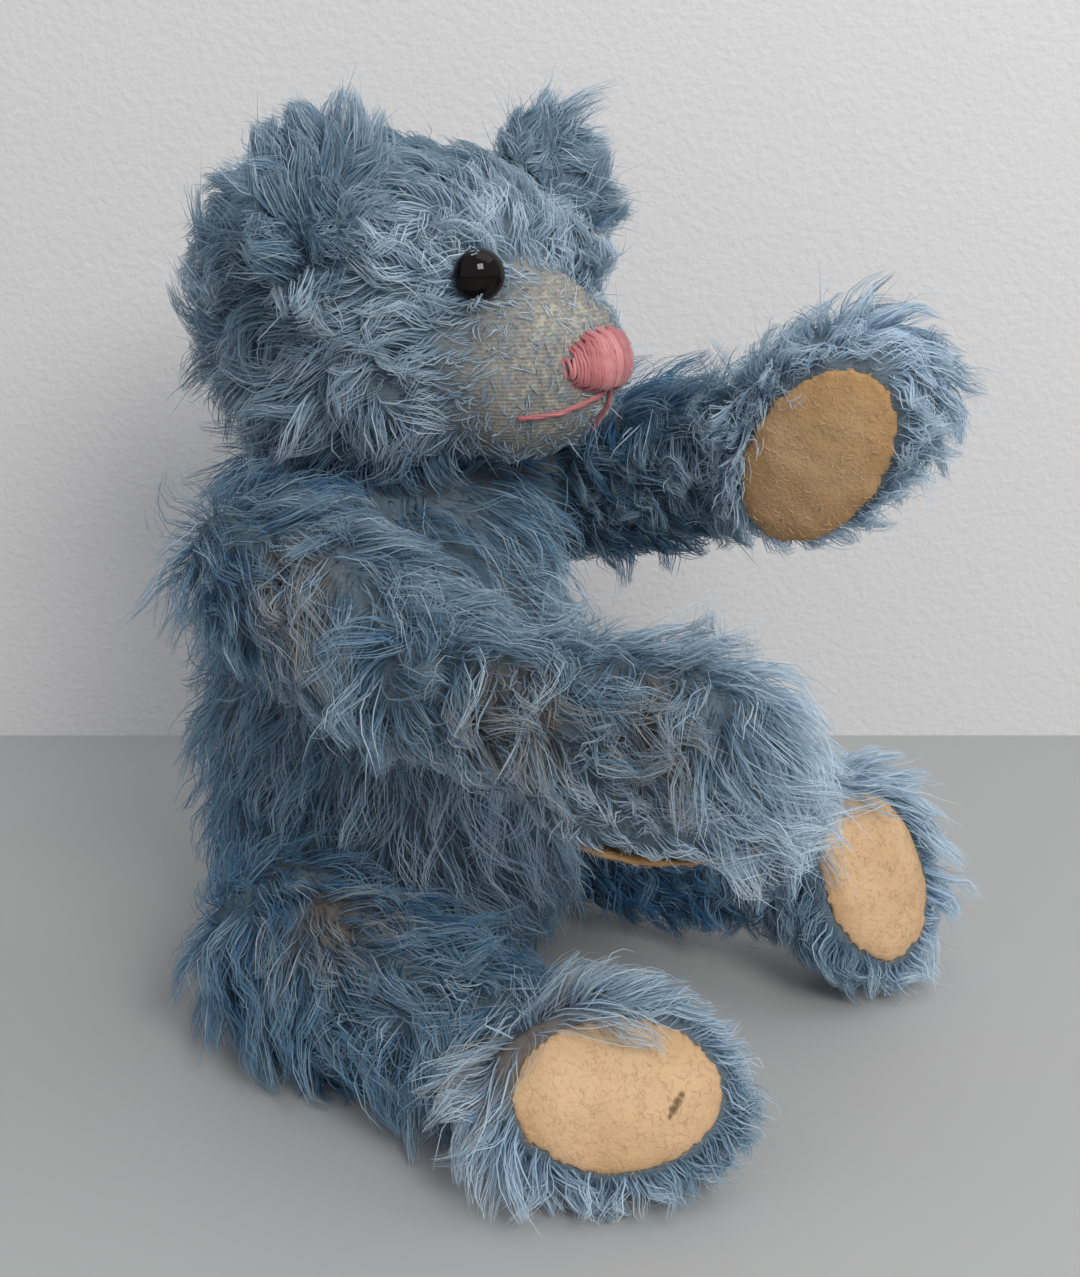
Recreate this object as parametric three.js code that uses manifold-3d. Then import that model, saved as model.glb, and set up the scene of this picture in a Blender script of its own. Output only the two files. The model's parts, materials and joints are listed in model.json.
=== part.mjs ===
// Sitting mohair teddy bear, worn thin, with five disc joints.
// Millimetres, +Z up. The bear looks along -Y and its left side is +X.
// The origin is on the flat of the seat, below the neck.
import * as THREE from 'three';
import { mergeVertices } from 'three/addons/utils/BufferGeometryUtils.js';
import Module from 'manifold-3d';

const wasm = await Module();
wasm.setup();

// Clearances
const touchGap = 0.3;
const jointGap = 0.4;
const turningGap = 0.5;
const sewnGap = 0.4;

// Torso
const torsoWidth = 84;
const torsoDepth = 112;
const torsoWaistWidth = 76;
const torsoWaistDepth = 107;
const torsoChestWidth = 78;
const torsoChestDepth = 92;
const torsoSeatWidth = 80;
const torsoSeatDepth = 102;
const torsoSeatSink = 3;
const torsoWaistRise = 53;
const torsoChestRise = 106;
const torsoLean = 4;
const neckHeight = 152;
const torsoTopRise = 14;
const torsoFlatHalf = 35;
const hipFlatHeight = 61;
const shoulderFlatRadius = 33;

// Head
const headWidth = 96;
const headDepth = 99;
const headCrownHeight = 232;
const headBottomDrop = 7;
const headJowlWidth = 88;
const headJowlDepth = 88;
const headForward = -5;
const headCheekRise = 26;
const headBrowDrop = 26;
const headCrownWidth = 88;
const headCrownDepth = 88;
const muzzleLength = 14;
const muzzleWidth = 27;
const muzzleTallness = 21;
const muzzleHeight = 177;
const muzzleTaper = 0.12;

// Ears
const earWidth = 46;
const earTallness = 46;
const earThickness = 11;
const earCup = 5;
const earSpacing = 84;
const earHeight = 217;
const earForward = -17;
const earSplayAngle = 32;
const earTurnAngle = -3;
const earLockShare = 0.35;
const earLockColumns = 4;

// Face
const eyeDiameter = 12.5;
const eyeDepth = 9.5;
const eyeSpacing = 46;
const eyeBelowCrown = 27;
const eyeProud = 1.6;
const noseWidth = 26;
const noseTallness = 14.5;
const noseThickness = 6.5;
const noseWrap = 5;
const noseAboveMuzzle = 7;
const noseTiltAngle = -12;
const noseThreadPitch = 1.9;
const noseThreadDepth = 0.45;
const mouthThread = 1.5;
const mouthLift = 0.5;
const mouthHalfWidth = 14;
const mouthBelowNose = 2.25;
const mouthFall = 6;

// Arms
const shoulderHeight = 129;
const shoulderForward = 2;
const armLength = 145;
const armBack = 23;
const armRootThickness = 42;
const armRootTallness = 55;
const armWristThickness = 36;
const armWristTallness = 43;
const armPawThickness = 46;
const armPawTallness = 52;
const armPawInward = 20;
const armPawRise = 21;
const armElbowReach = 29;
const armWristReach = 75;
const armHeelReach = 119;
const armCutRadius = 41;
const leftArmAngle = 14;
const rightArmAngle = -16.5;

// Legs
const hipHeight = 27;
const hipForward = -1;
const legBack = 22;
const legThighThickness = 41;
const legThighTallness = 54;
const legKneeTallness = 48;
const legKneeReach = 52;
const legAnkleThickness = 40;
const legAnkleTallness = 46;
const ankleBehindSole = 15;
const soleReach = 115;
const soleOutward = 27;
const leftSoleHeight = 37;
const rightSoleHeight = 30;
const footLength = 70;
const footWidth = 57;
const footDepth = 52;
const soleInFoot = 12;
const leftSoleYawAngle = -20;
const leftSoleTiltAngle = 20;
const leftFootRollAngle = -12;
const rightSoleYawAngle = 42;
const rightSoleTiltAngle = 24;
const rightFootRollAngle = 84;

// Felt pads
const feltThickness = 2;
const footPadLength = 50;
const footPadWidth = 36;
const footPadCrown = 3.5;
const pawPadLength = 56;
const pawPadWidth = 33;
const pawPadCrown = 3;
const pawPadReach = 98;
const pawPadInset = 6;
const leftPawPadAngle = 20;
const rightPawPadAngle = 76;
const pawPadTwistAngle = 20;
const padRimFall = 5;
const padCutReach = 40;
const padCutSpread = 2.6;

// Disc joints: two hardboard discs, two steel washers and a split pin each
const clothThickness = 3;
const armDiscDiameter = 32;
const legDiscDiameter = 36;
const neckDiscDiameter = 38;
const discThickness = 2.5;
const washerDiameter = 14;
const washerThickness = 1;
const pinDiameter = 2.6;
const pinWire = 1.2;
const pinEyeRadius = 2.1;
const pinCurlReach = 5;
const pinCurlDrop = 3;
const discSides = 16;
const washerSides = 12;
const pinSides = 8;

// Locks of pile
const lockLength = 21;
const lockWidth = 15;
const lockHeight = 2.6;

const degrees = Math.PI / 180;

const eyeHeight = headCrownHeight - eyeBelowCrown;
const noseHeight = muzzleHeight + noseAboveMuzzle;
const mouthTopHeight = noseHeight - noseTallness / 2 - mouthBelowNose;
const mouthEndHeight = mouthTopHeight - mouthFall;

const mohair = new THREE.MeshStandardMaterial({ color: 0x7d97ac, roughness: 0.9, metalness: 0 });
const earMohair = new THREE.MeshStandardMaterial({ color: 0x6d8ba4, roughness: 0.9, metalness: 0 });
const felt = new THREE.MeshStandardMaterial({ color: 0xd9ab6c, roughness: 0.95, metalness: 0 });
const glass = new THREE.MeshStandardMaterial({ color: 0x0c0808, roughness: 0.05, metalness: 0 });
const pinkThread = new THREE.MeshStandardMaterial({ color: 0xcf666d, roughness: 0.6, metalness: 0 });
const hardboard = new THREE.MeshStandardMaterial({ color: 0x8a6a48, roughness: 0.8, metalness: 0 });
const steel = new THREE.MeshStandardMaterial({ color: 0x9a9a96, roughness: 0.4, metalness: 0.9 });

const bear = new THREE.Group();

function addPiece(name, solid, material) {
  const piece = new THREE.Mesh(geometryOf(solid), material.clone());
  piece.name = name;
  bear.add(piece);
}

function bareGeometry(geometry) {
  const bare = geometry.clone();
  bare.deleteAttribute('normal');
  bare.deleteAttribute('uv');
  return mergeVertices(bare, 1e-4);
}

function solidOf(geometry) {
  const bare = bareGeometry(geometry);
  return new wasm.Manifold(new wasm.Mesh({
    numProp: 3,
    vertProperties: new Float32Array(bare.attributes.position.array),
    triVerts: new Uint32Array(bare.index.array),
  }));
}

function geometryOf(solid) {
  const mesh = solid.getMesh();
  const geometry = new THREE.BufferGeometry();
  geometry.setAttribute('position', new THREE.BufferAttribute(mesh.vertProperties, 3));
  geometry.setIndex(new THREE.BufferAttribute(mesh.triVerts, 1));
  geometry.computeVertexNormals();
  return geometry;
}

function mirrored(geometry) {
  const twin = bareGeometry(geometry);
  twin.scale(-1, 1, 1);
  const corners = twin.index;
  for (let i = 0; i < corners.count; i += 3) {
    const second = corners.getX(i + 1);
    corners.setX(i + 1, corners.getX(i + 2));
    corners.setX(i + 2, second);
  }
  return twin;
}

function swollen(geometry, amount) {
  const skin = bareGeometry(geometry);
  skin.computeVertexNormals();
  const places = skin.attributes.position;
  const normals = skin.attributes.normal;
  for (let i = 0; i < places.count; i++) {
    places.setXYZ(
      i,
      places.getX(i) + amount * normals.getX(i),
      places.getY(i) + amount * normals.getY(i),
      places.getZ(i) + amount * normals.getZ(i),
    );
  }
  return skin;
}

function boxSolid(low, high) {
  const geometry = new THREE.BoxGeometry(high.x - low.x, high.y - low.y, high.z - low.z);
  geometry.translate((low.x + high.x) / 2, (low.y + high.y) / 2, (low.z + high.z) / 2);
  return solidOf(geometry);
}

const farAway = 400;

function below(height) {
  return boxSolid(new THREE.Vector3(-farAway, -farAway, -farAway), new THREE.Vector3(farAway, farAway, height));
}

function above(height) {
  return boxSolid(new THREE.Vector3(-farAway, -farAway, height), new THREE.Vector3(farAway, farAway, farAway));
}

// How far the pile stands off or sinks in, as locks that stagger round the form and lap down it.
// columns is even, so that the locks meet where the turn closes.
function lockRelief(alongLength, turn, columns, seed) {
  const row = (2 * Math.PI * alongLength) / lockLength;
  const sway = row + 1.9 * Math.sin((turn * columns) / 2 + seed);
  const split = turn * columns + 2.3 * Math.sin(0.6 * row + 2 * seed);
  return lockHeight * (0.55 * Math.sin(sway) + 0.45 * Math.sin(split));
}

function lockColumns(girth) {
  return 2 * Math.round(girth / (2 * lockWidth));
}

// A stuffed form: a sphere drawn out along a spine. halves gives its half-widths, across and up, along the spine.
function stuffedForm({ around, along, spine, halves, across, fullness, seed, lockShare }) {
  const geometry = bareGeometry(new THREE.SphereGeometry(1, around, along));
  const places = geometry.attributes.position;
  const vertex = new THREE.Vector3();
  const length = spine.getLength();
  const middle = halves.getPoint(0.5);
  const columns = lockColumns(Math.PI * (middle.x + middle.y));
  for (let i = 0; i < places.count; i++) {
    vertex.fromBufferAttribute(places, i);
    const polar = Math.acos(THREE.MathUtils.clamp(vertex.y, -1, 1));
    const share = THREE.MathUtils.clamp(0.55 * (polar / Math.PI) + 0.225 * (1 - Math.cos(polar)), 0, 1);
    const full = Math.pow(Math.max(0, 1 - Math.pow(Math.abs(2 * share - 1), fullness)), 1 / fullness);
    const turn = Math.atan2(vertex.z, vertex.x);
    const centre = spine.getPoint(share);
    const tangent = spine.getTangent(share);
    const half = halves.getPoint(share);
    const side = across.clone().addScaledVector(tangent, -across.dot(tangent)).normalize();
    const up = new THREE.Vector3().crossVectors(tangent, side);
    const place = centre.clone();
    place.addScaledVector(side, full * half.x * Math.cos(turn));
    place.addScaledVector(up, full * half.y * Math.sin(turn));
    const relief = full * lockRelief(share * length, turn, columns, seed) * (lockShare ? lockShare(place) : 1);
    const outward = place.clone().sub(centre);
    if (outward.length() > 1e-6) place.addScaledVector(outward.normalize(), relief);
    places.setXYZ(i, place.x, place.y, place.z);
  }
  return geometry;
}

function halvesAlong(pairs) {
  return new THREE.CatmullRomCurve3(pairs.map(([across, up]) => new THREE.Vector3(across / 2, up / 2, 0)));
}

// Torso
function torsoForm() {
  return stuffedForm({
    around: 26,
    along: 18,
    spine: new THREE.CatmullRomCurve3([
      new THREE.Vector3(0, 0, -torsoSeatSink),
      new THREE.Vector3(0, torsoLean, torsoWaistRise),
      new THREE.Vector3(0, torsoLean, torsoChestRise),
      new THREE.Vector3(0, torsoLean, neckHeight + torsoTopRise),
    ]),
    halves: halvesAlong([
      [torsoSeatWidth, torsoSeatDepth],
      [torsoWidth, torsoDepth],
      [torsoWaistWidth, torsoWaistDepth],
      [torsoChestWidth, torsoChestDepth],
    ]),
    across: new THREE.Vector3(1, 0, 0),
    fullness: 2.9,
    seed: 0.7,
  });
}

function sideSeat(side) {
  const inner = torsoFlatHalf - jointGap / 2;
  const hip = new THREE.BoxGeometry(farAway, farAway, 2 * hipFlatHeight);
  hip.translate(side * (inner + farAway / 2), 0, 0);
  const shoulder = new THREE.CylinderGeometry(shoulderFlatRadius, shoulderFlatRadius, farAway, 16);
  shoulder.rotateZ(Math.PI / 2);
  shoulder.translate(side * (inner + farAway / 2), shoulderForward, shoulderHeight);
  return solidOf(hip).add(solidOf(shoulder));
}

function torsoSolid() {
  return solidOf(torsoForm())
    .subtract(below(0))
    .subtract(above(neckHeight - jointGap / 2))
    .subtract(sideSeat(1))
    .subtract(sideSeat(-1));
}

// Adds a joint's flat to a stuffed piece and takes its hardware's room out of it
function jointed(solid, diameter, towards, place) {
  return solid
    .add(movedManifold(jointFlat(diameter, towards), place))
    .subtract(movedManifold(jointRoom(diameter, towards), place));
}

// Head, with a clipped muzzle that has no locks on it
function muzzleShare(place) {
  if (place.y > headForward) return 0;
  const across = place.x / muzzleWidth;
  const up = (place.z - muzzleHeight) / muzzleTallness;
  const spread = across * across + up * up;
  return Math.exp(-Math.pow(spread, 1.4));
}

function headForm() {
  const geometry = stuffedForm({
    around: 30,
    along: 20,
    spine: new THREE.CatmullRomCurve3([
      new THREE.Vector3(0, 0, neckHeight - headBottomDrop),
      new THREE.Vector3(0, headForward, neckHeight + headCheekRise),
      new THREE.Vector3(0, headForward, headCrownHeight - headBrowDrop),
      new THREE.Vector3(0, headForward, headCrownHeight),
    ]),
    halves: halvesAlong([
      [headJowlWidth, headJowlDepth],
      [headWidth, headDepth],
      [headWidth, headDepth],
      [headCrownWidth, headCrownDepth],
    ]),
    across: new THREE.Vector3(1, 0, 0),
    fullness: 2.2,
    seed: 2.4,
    lockShare: (place) => 1 - Math.min(1, 1.4 * muzzleShare(place)),
  });
  const places = geometry.attributes.position;
  const vertex = new THREE.Vector3();
  for (let i = 0; i < places.count; i++) {
    vertex.fromBufferAttribute(places, i);
    const share = muzzleShare(vertex);
    places.setXYZ(i, vertex.x * (1 - muzzleTaper * share), vertex.y - muzzleLength * share, vertex.z);
  }
  return geometry;
}

const headSkin = headForm();
const headClearance = solidOf(swollen(headSkin, sewnGap));

function headSolid() {
  return solidOf(headSkin).subtract(below(neckHeight + jointGap / 2));
}

// The point of the head that is met looking straight back from in front at (x, z)
const headTarget = new THREE.Mesh(headSkin, new THREE.MeshStandardMaterial());
headSkin.computeBoundingSphere();

function facePoint(x, z, proud) {
  const origin = new THREE.Vector3(x, -farAway, z);
  const hit = new THREE.Raycaster(origin, new THREE.Vector3(0, 1, 0)).intersectObject(headTarget)[0];
  return hit.point.clone().addScaledVector(hit.face.normal, proud);
}

// Ears: cupped half discs of mohair sewn to the corners of the head
function earSolid(side) {
  const geometry = bareGeometry(new THREE.SphereGeometry(1, 18, 10));
  const places = geometry.attributes.position;
  for (let i = 0; i < places.count; i++) {
    const x = (places.getX(i) * earWidth) / 2;
    const z = (places.getZ(i) * earTallness) / 2;
    const cup = earCup * (1 - ((2 * x) / earWidth) ** 2) * (z / earTallness + 0.5);
    const relief = earLockShare * lockRelief(z + earTallness, (2 * x) / earWidth, earLockColumns, 1.3) * Math.abs(places.getY(i));
    const y = (places.getY(i) * earThickness) / 2 + cup + relief * Math.sign(places.getY(i));
    places.setXYZ(i, x, y, z);
  }
  geometry.rotateZ(side * earTurnAngle * degrees);
  geometry.rotateY(side * earSplayAngle * degrees);
  geometry.translate((side * earSpacing) / 2, earForward, earHeight);
  return solidOf(geometry).subtract(headClearance);
}

function eyeSolid(side) {
  const geometry = new THREE.SphereGeometry(1, 16, 10);
  geometry.scale(eyeDiameter / 2, eyeDepth / 2, eyeDiameter / 2);
  const centre = facePoint((side * eyeSpacing) / 2, eyeHeight, eyeProud);
  const outward = centre.clone().sub(new THREE.Vector3(0, headForward, eyeHeight)).normalize();
  const turn = new THREE.Quaternion().setFromUnitVectors(new THREE.Vector3(0, -1, 0), outward);
  geometry.applyQuaternion(turn);
  geometry.translate(centre.x, centre.y, centre.z);
  return solidOf(geometry).subtract(headClearance);
}

// Nose: upright satin stitches side by side, as a ribbed oval pad
function noseForm() {
  const geometry = bareGeometry(new THREE.SphereGeometry(1, 34, 8));
  const places = geometry.attributes.position;
  for (let i = 0; i < places.count; i++) {
    const x = (places.getX(i) * noseWidth) / 2;
    const rib = noseThreadDepth * Math.cos((2 * Math.PI * x) / noseThreadPitch);
    const front = Math.max(0, -places.getY(i));
    places.setXYZ(
      i,
      x,
      (places.getY(i) * noseThickness) / 2 - rib * front + noseWrap * ((2 * x) / noseWidth) ** 2,
      (places.getZ(i) * noseTallness) / 2,
    );
  }
  const centre = facePoint(0, noseHeight, 0);
  geometry.rotateX(noseTiltAngle * degrees);
  geometry.translate(centre.x, centre.y, centre.z);
  return geometry;
}

function noseSolid() {
  return solidOf(noseForm()).subtract(headClearance);
}

function thread(points, diameter, steps) {
  const section = new THREE.Shape();
  section.absarc(0, 0, diameter / 2, 0, 2 * Math.PI, false);
  return new THREE.ExtrudeGeometry(section, {
    steps,
    curveSegments: 3,
    bevelEnabled: false,
    extrudePath: new THREE.CatmullRomCurve3(points),
  });
}

// Mouth: a short stem below the nose and one long stitch to each side
function mouthSolid() {
  const stemTop = noseHeight - noseTallness / 2 - touchGap;
  const stem = [stemTop, (stemTop + mouthTopHeight) / 2, mouthTopHeight].map((z) => facePoint(0, z, mouthLift));
  let mouth = solidOf(thread(stem, mouthThread, 4));
  for (const side of [-1, 1]) {
    const shares = [0, 0.33, 0.67, 1];
    const stitch = shares.map((share) => facePoint(
      side * mouthHalfWidth * share,
      THREE.MathUtils.lerp(mouthTopHeight, mouthEndHeight, share),
      mouthLift,
    ));
    mouth = mouth.add(solidOf(thread(stitch, mouthThread, 7)));
  }
  return mouth.subtract(headClearance).subtract(solidOf(swollen(noseForm(), touchGap)));
}

// Felt pads: a domed oval sheet that stands on +Y, and the cutter that shapes the limb under it
function padProfile(crown, drop) {
  return [0, 0.45, 0.8].map((r) => new THREE.Vector2(r, crown * (1 - r * r) - drop));
}

function padSheet(length, width, crown) {
  const top = padProfile(crown, 0);
  const under = padProfile(crown, feltThickness).reverse();
  const rim = [new THREE.Vector2(1, -0.3 * feltThickness), new THREE.Vector2(0.99, -feltThickness)];
  const geometry = new THREE.LatheGeometry([...under.reverse(), ...rim.reverse(), ...top.reverse()], 20);
  geometry.scale(length / 2, 1, width / 2);
  return geometry;
}

function padCutter(length, width, crown) {
  const drop = feltThickness + touchGap;
  const edge = 1 + (2 * touchGap) / width;
  const bed = [...padProfile(crown, drop), new THREE.Vector2(edge, -drop)];
  const outer = [
    new THREE.Vector2(edge, -feltThickness * 0.5),
    new THREE.Vector2(padCutSpread, -feltThickness * 0.5 - padRimFall),
    new THREE.Vector2(padCutSpread, padCutReach),
    new THREE.Vector2(0, padCutReach),
  ];
  const geometry = new THREE.LatheGeometry([...bed, ...outer], 20);
  geometry.scale(length / 2, 1, width / 2);
  return geometry;
}

function placing(centre, normal, longAxis) {
  const long = longAxis.clone().addScaledVector(normal, -longAxis.dot(normal)).normalize();
  const short = new THREE.Vector3().crossVectors(long, normal);
  return new THREE.Matrix4().makeBasis(long, normal, short).setPosition(centre);
}

// Joint hardware stands on +Y: the torso's half is below 0 and the limb's half above

function discLathe(outer, inner, low, high, sides) {
  return new THREE.LatheGeometry([
    new THREE.Vector2(inner, low),
    new THREE.Vector2(outer, low),
    new THREE.Vector2(outer, high),
    new THREE.Vector2(inner, high),
    new THREE.Vector2(inner, low),
  ], sides);
}

function rodLathe(radius, low, high, sides) {
  return new THREE.LatheGeometry([
    new THREE.Vector2(0, low),
    new THREE.Vector2(radius, low),
    new THREE.Vector2(radius, high),
    new THREE.Vector2(0, high),
  ], sides);
}

const pinBore = pinDiameter / 2 + touchGap;
const discLow = clothThickness + touchGap;
const discHigh = discLow + discThickness;
const washerLow = discHigh + touchGap;
const washerHigh = washerLow + washerThickness;

function discGeometry(diameter, towards) {
  const ends = [towards * discLow, towards * discHigh].sort((a, b) => a - b);
  return discLathe(diameter / 2, pinBore, ends[0], ends[1], discSides);
}

function washerGeometry(towards) {
  const ends = [towards * washerLow, towards * washerHigh].sort((a, b) => a - b);
  return discLathe(washerDiameter / 2, pinBore, ends[0], ends[1], washerSides);
}

// Split pin: a shaft, an eye over the limb's washer and two legs curled back over the torso's
function pinSolid() {
  const curlTop = -(washerHigh + touchGap + pinWire / 2);
  const eyeCentre = washerHigh + touchGap + pinEyeRadius + pinWire / 2;
  const eye = new THREE.TorusGeometry(pinEyeRadius, pinWire / 2, 5, 9);
  eye.translate(0, eyeCentre, 0);
  let pin = solidOf(rodLathe(pinDiameter / 2, curlTop - pinCurlDrop * 0.6, eyeCentre - pinEyeRadius, pinSides));
  pin = pin.add(solidOf(eye));
  for (const side of [-1, 1]) {
    const curl = thread([
      new THREE.Vector3(side * pinWire * 0.3, curlTop - pinCurlDrop * 0.3, 0),
      new THREE.Vector3(side * pinCurlReach * 0.35, curlTop - pinCurlDrop, 0),
      new THREE.Vector3(side * pinCurlReach * 0.8, curlTop - pinCurlDrop * 0.8, 0),
      new THREE.Vector3(side * pinCurlReach, curlTop, 0),
    ], pinWire, 4);
    pin = pin.add(solidOf(curl));
  }
  return pin;
}

// The room inside a stuffed piece for its half of the joint, open at the pin's hole
function jointRoom(diameter, towards) {
  const deep = towards > 0
    ? washerHigh + 2 * touchGap + 2 * pinEyeRadius + pinWire
    : washerHigh + 2 * touchGap + pinWire + pinCurlDrop;
  const ends = [towards * clothThickness, towards * washerLow].sort((a, b) => a - b);
  const room = solidOf(rodLathe(diameter / 2 + touchGap, ends[0], ends[1], discSides));
  const back = [towards * (washerLow - touchGap), towards * (deep + turningGap)].sort((a, b) => a - b);
  const well = solidOf(rodLathe(washerDiameter / 2 + touchGap, back[0], back[1], washerSides));
  const hole = [towards * (-jointGap), towards * (clothThickness + touchGap)].sort((a, b) => a - b);
  return room.add(well).add(solidOf(rodLathe(pinBore, hole[0], hole[1], pinSides)));
}

// The flat that the disc presses in the cloth, with a wall round the disc's room
function jointFlat(diameter, towards) {
  const radius = diameter / 2 + touchGap + clothThickness;
  const ends = [(towards * jointGap) / 2, towards * (washerHigh + clothThickness)].sort((a, b) => a - b);
  return solidOf(rodLathe(radius, ends[0], ends[1], discSides));
}

function movedSolid(geometry, matrix) {
  return solidOf(geometry.clone().applyMatrix4(matrix));
}

function movedManifold(solid, matrix) {
  return solid.transform(matrix.elements);
}

const up = new THREE.Vector3(0, 0, 1);
const shoulderPlace = (side) => placing(
  new THREE.Vector3(side * torsoFlatHalf, shoulderForward, shoulderHeight),
  new THREE.Vector3(side, 0, 0),
  up,
);
const hipPlace = (side) => placing(
  new THREE.Vector3(side * torsoFlatHalf, hipForward, hipHeight),
  new THREE.Vector3(side, 0, 0),
  up,
);
const neckPlace = placing(new THREE.Vector3(0, 0, neckHeight), up, new THREE.Vector3(1, 0, 0));

function addJointHardware(name, place, diameter) {
  addPiece(`${name}_disc_torso`, movedSolid(discGeometry(diameter, -1), place), hardboard);
  addPiece(`${name}_washer_torso`, movedSolid(washerGeometry(-1), place), steel);
  addPiece(`${name}_disc_outer`, movedSolid(discGeometry(diameter, 1), place), hardboard);
  addPiece(`${name}_washer_outer`, movedSolid(washerGeometry(1), place), steel);
  addPiece(`${name}_split_pin`, movedManifold(pinSolid(), place), steel);
}

// Arms: made level and forward for the left side, then mirrored for the right and turned at the shoulder
function armParts(side, raise, padAngle) {
  const rootHalf = armRootThickness / 2;
  const spine = new THREE.CatmullRomCurve3([
    new THREE.Vector3(rootHalf, armBack, 0),
    new THREE.Vector3(rootHalf, -armElbowReach, 0),
    new THREE.Vector3(rootHalf - armPawInward * 0.25, -armWristReach, 0),
    new THREE.Vector3(rootHalf - armPawInward * 0.8, -armHeelReach, armPawRise * 0.5),
    new THREE.Vector3(rootHalf - armPawInward, -armLength, armPawRise),
  ]);
  const form = stuffedForm({
    around: 18,
    along: 20,
    spine,
    halves: halvesAlong([
      [armRootThickness, armRootTallness],
      [armRootThickness, armRootTallness],
      [armWristThickness, armWristTallness],
      [armPawThickness, armPawTallness],
      [armPawThickness, armPawTallness],
    ]),
    across: new THREE.Vector3(1, 0, 0),
    fullness: 2.7,
    seed: side > 0 ? 3.1 : 4.6,
  });
  const facing = padAngle * degrees;
  const normal = new THREE.Vector3(-Math.cos(facing), -0.35 * Math.sin(facing), -Math.sin(facing)).normalize();
  const palm = spine.getPoint((pawPadReach + armBack) / (armLength + armBack));
  palm.addScaledVector(normal, armPawThickness / 2 - pawPadInset);
  const along = spine.getTangent(0.8).applyAxisAngle(new THREE.Vector3(1, 0, 0), -pawPadTwistAngle * degrees);
  const padPlace = placing(palm, normal, along);
  const pad = padSheet(pawPadLength, pawPadWidth, pawPadCrown).applyMatrix4(padPlace);
  const cutter = padCutter(pawPadLength, pawPadWidth, pawPadCrown).applyMatrix4(padPlace);
  const shoulder = new THREE.Matrix4().makeRotationX(-raise * degrees);
  shoulder.setPosition(torsoFlatHalf, shoulderForward, shoulderHeight);
  const [armSkin, padSkin, padTool] = [form, pad, cutter].map((geometry) => {
    geometry.applyMatrix4(shoulder);
    return side > 0 ? geometry : mirrored(geometry);
  });
  return { armSkin, padSkin, padTool };
}

function outside(side, inner) {
  const box = new THREE.BoxGeometry(farAway, farAway, 2 * farAway);
  box.translate(side * (inner + farAway / 2), shoulderForward, 0);
  return solidOf(box);
}

function innerShoulderCut(side) {
  const cut = new THREE.CylinderGeometry(armCutRadius, armCutRadius, farAway, 16);
  cut.rotateZ(Math.PI / 2);
  cut.translate(side * (torsoFlatHalf + jointGap / 2 - farAway / 2), shoulderForward, shoulderHeight);
  return solidOf(cut);
}

function addArm(name, side, raise, padAngle) {
  const { armSkin, padSkin, padTool } = armParts(side, raise, padAngle);
  const arm = solidOf(armSkin)
    .subtract(solidOf(padTool))
    .subtract(innerShoulderCut(side));
  addPiece(`arm_${name}`, jointed(arm, armDiscDiameter, 1, shoulderPlace(side)), mohair);
  addPiece(`paw_pad_${name}`, solidOf(padSkin), felt);
}

// Legs: a thigh that lies forward from the hip and a foot that is turned and rolled by itself
function footPlace(side, height, yaw, tilt, roll) {
  const yawTurn = yaw * degrees;
  const tiltTurn = tilt * degrees;
  const rollTurn = roll * degrees;
  const normal = new THREE.Vector3(
    side * Math.sin(yawTurn) * Math.cos(tiltTurn),
    -Math.cos(yawTurn) * Math.cos(tiltTurn),
    Math.sin(tiltTurn),
  );
  const toes = new THREE.Vector3(side * Math.cos(yawTurn), Math.sin(yawTurn), 0);
  const longAxis = up.clone().multiplyScalar(Math.cos(rollTurn)).addScaledVector(toes, Math.sin(rollTurn));
  const centre = new THREE.Vector3(side * (torsoFlatHalf + soleOutward), -soleReach, height);
  return { place: placing(centre, normal, longAxis), centre, normal };
}

function footForm(place, seed) {
  const form = stuffedForm({
    around: 18,
    along: 12,
    spine: new THREE.CatmullRomCurve3([
      new THREE.Vector3(0, -soleInFoot + footDepth / 2, 0),
      new THREE.Vector3(0, -soleInFoot, 0),
      new THREE.Vector3(0, -soleInFoot - footDepth / 2, 0),
    ]),
    halves: halvesAlong([[footLength, footWidth], [footLength, footWidth], [footLength, footWidth]]),
    across: new THREE.Vector3(1, 0, 0),
    fullness: 2.2,
    seed,
  });
  return form.applyMatrix4(place);
}

function thighForm(side, foot) {
  const outward = side * (torsoFlatHalf + legThighThickness / 2);
  const ankle = foot.centre.clone().addScaledVector(foot.normal, -ankleBehindSole);
  return stuffedForm({
    around: 18,
    along: 14,
    spine: new THREE.CatmullRomCurve3([
      new THREE.Vector3(outward, legBack + hipForward, hipHeight),
      new THREE.Vector3(outward, hipForward, hipHeight),
      new THREE.Vector3(outward, -legKneeReach, hipHeight),
      ankle,
    ]),
    halves: halvesAlong([
      [legThighThickness, legThighTallness],
      [legThighThickness, legThighTallness],
      [legThighThickness, legKneeTallness],
      [legAnkleThickness, legAnkleTallness],
    ]),
    across: new THREE.Vector3(1, 0, 0),
    fullness: 2.8,
    seed: side > 0 ? 5.2 : 0.3,
  });
}

function addLeg(name, side, foot) {
  const cutter = padCutter(footPadLength, footPadWidth, footPadCrown).applyMatrix4(foot.place);
  const pad = padSheet(footPadLength, footPadWidth, footPadCrown).applyMatrix4(foot.place);
  const inner = torsoFlatHalf + jointGap / 2;
  const leg = solidOf(thighForm(side, foot))
    .add(solidOf(footForm(foot.place, side)))
    .subtract(solidOf(cutter))
    .subtract(below(0))
    .intersect(outside(side, inner));
  addPiece(`leg_${name}`, jointed(leg, legDiscDiameter, 1, hipPlace(side)), mohair);
  addPiece(`foot_pad_${name}`, solidOf(pad), felt);
}

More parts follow.
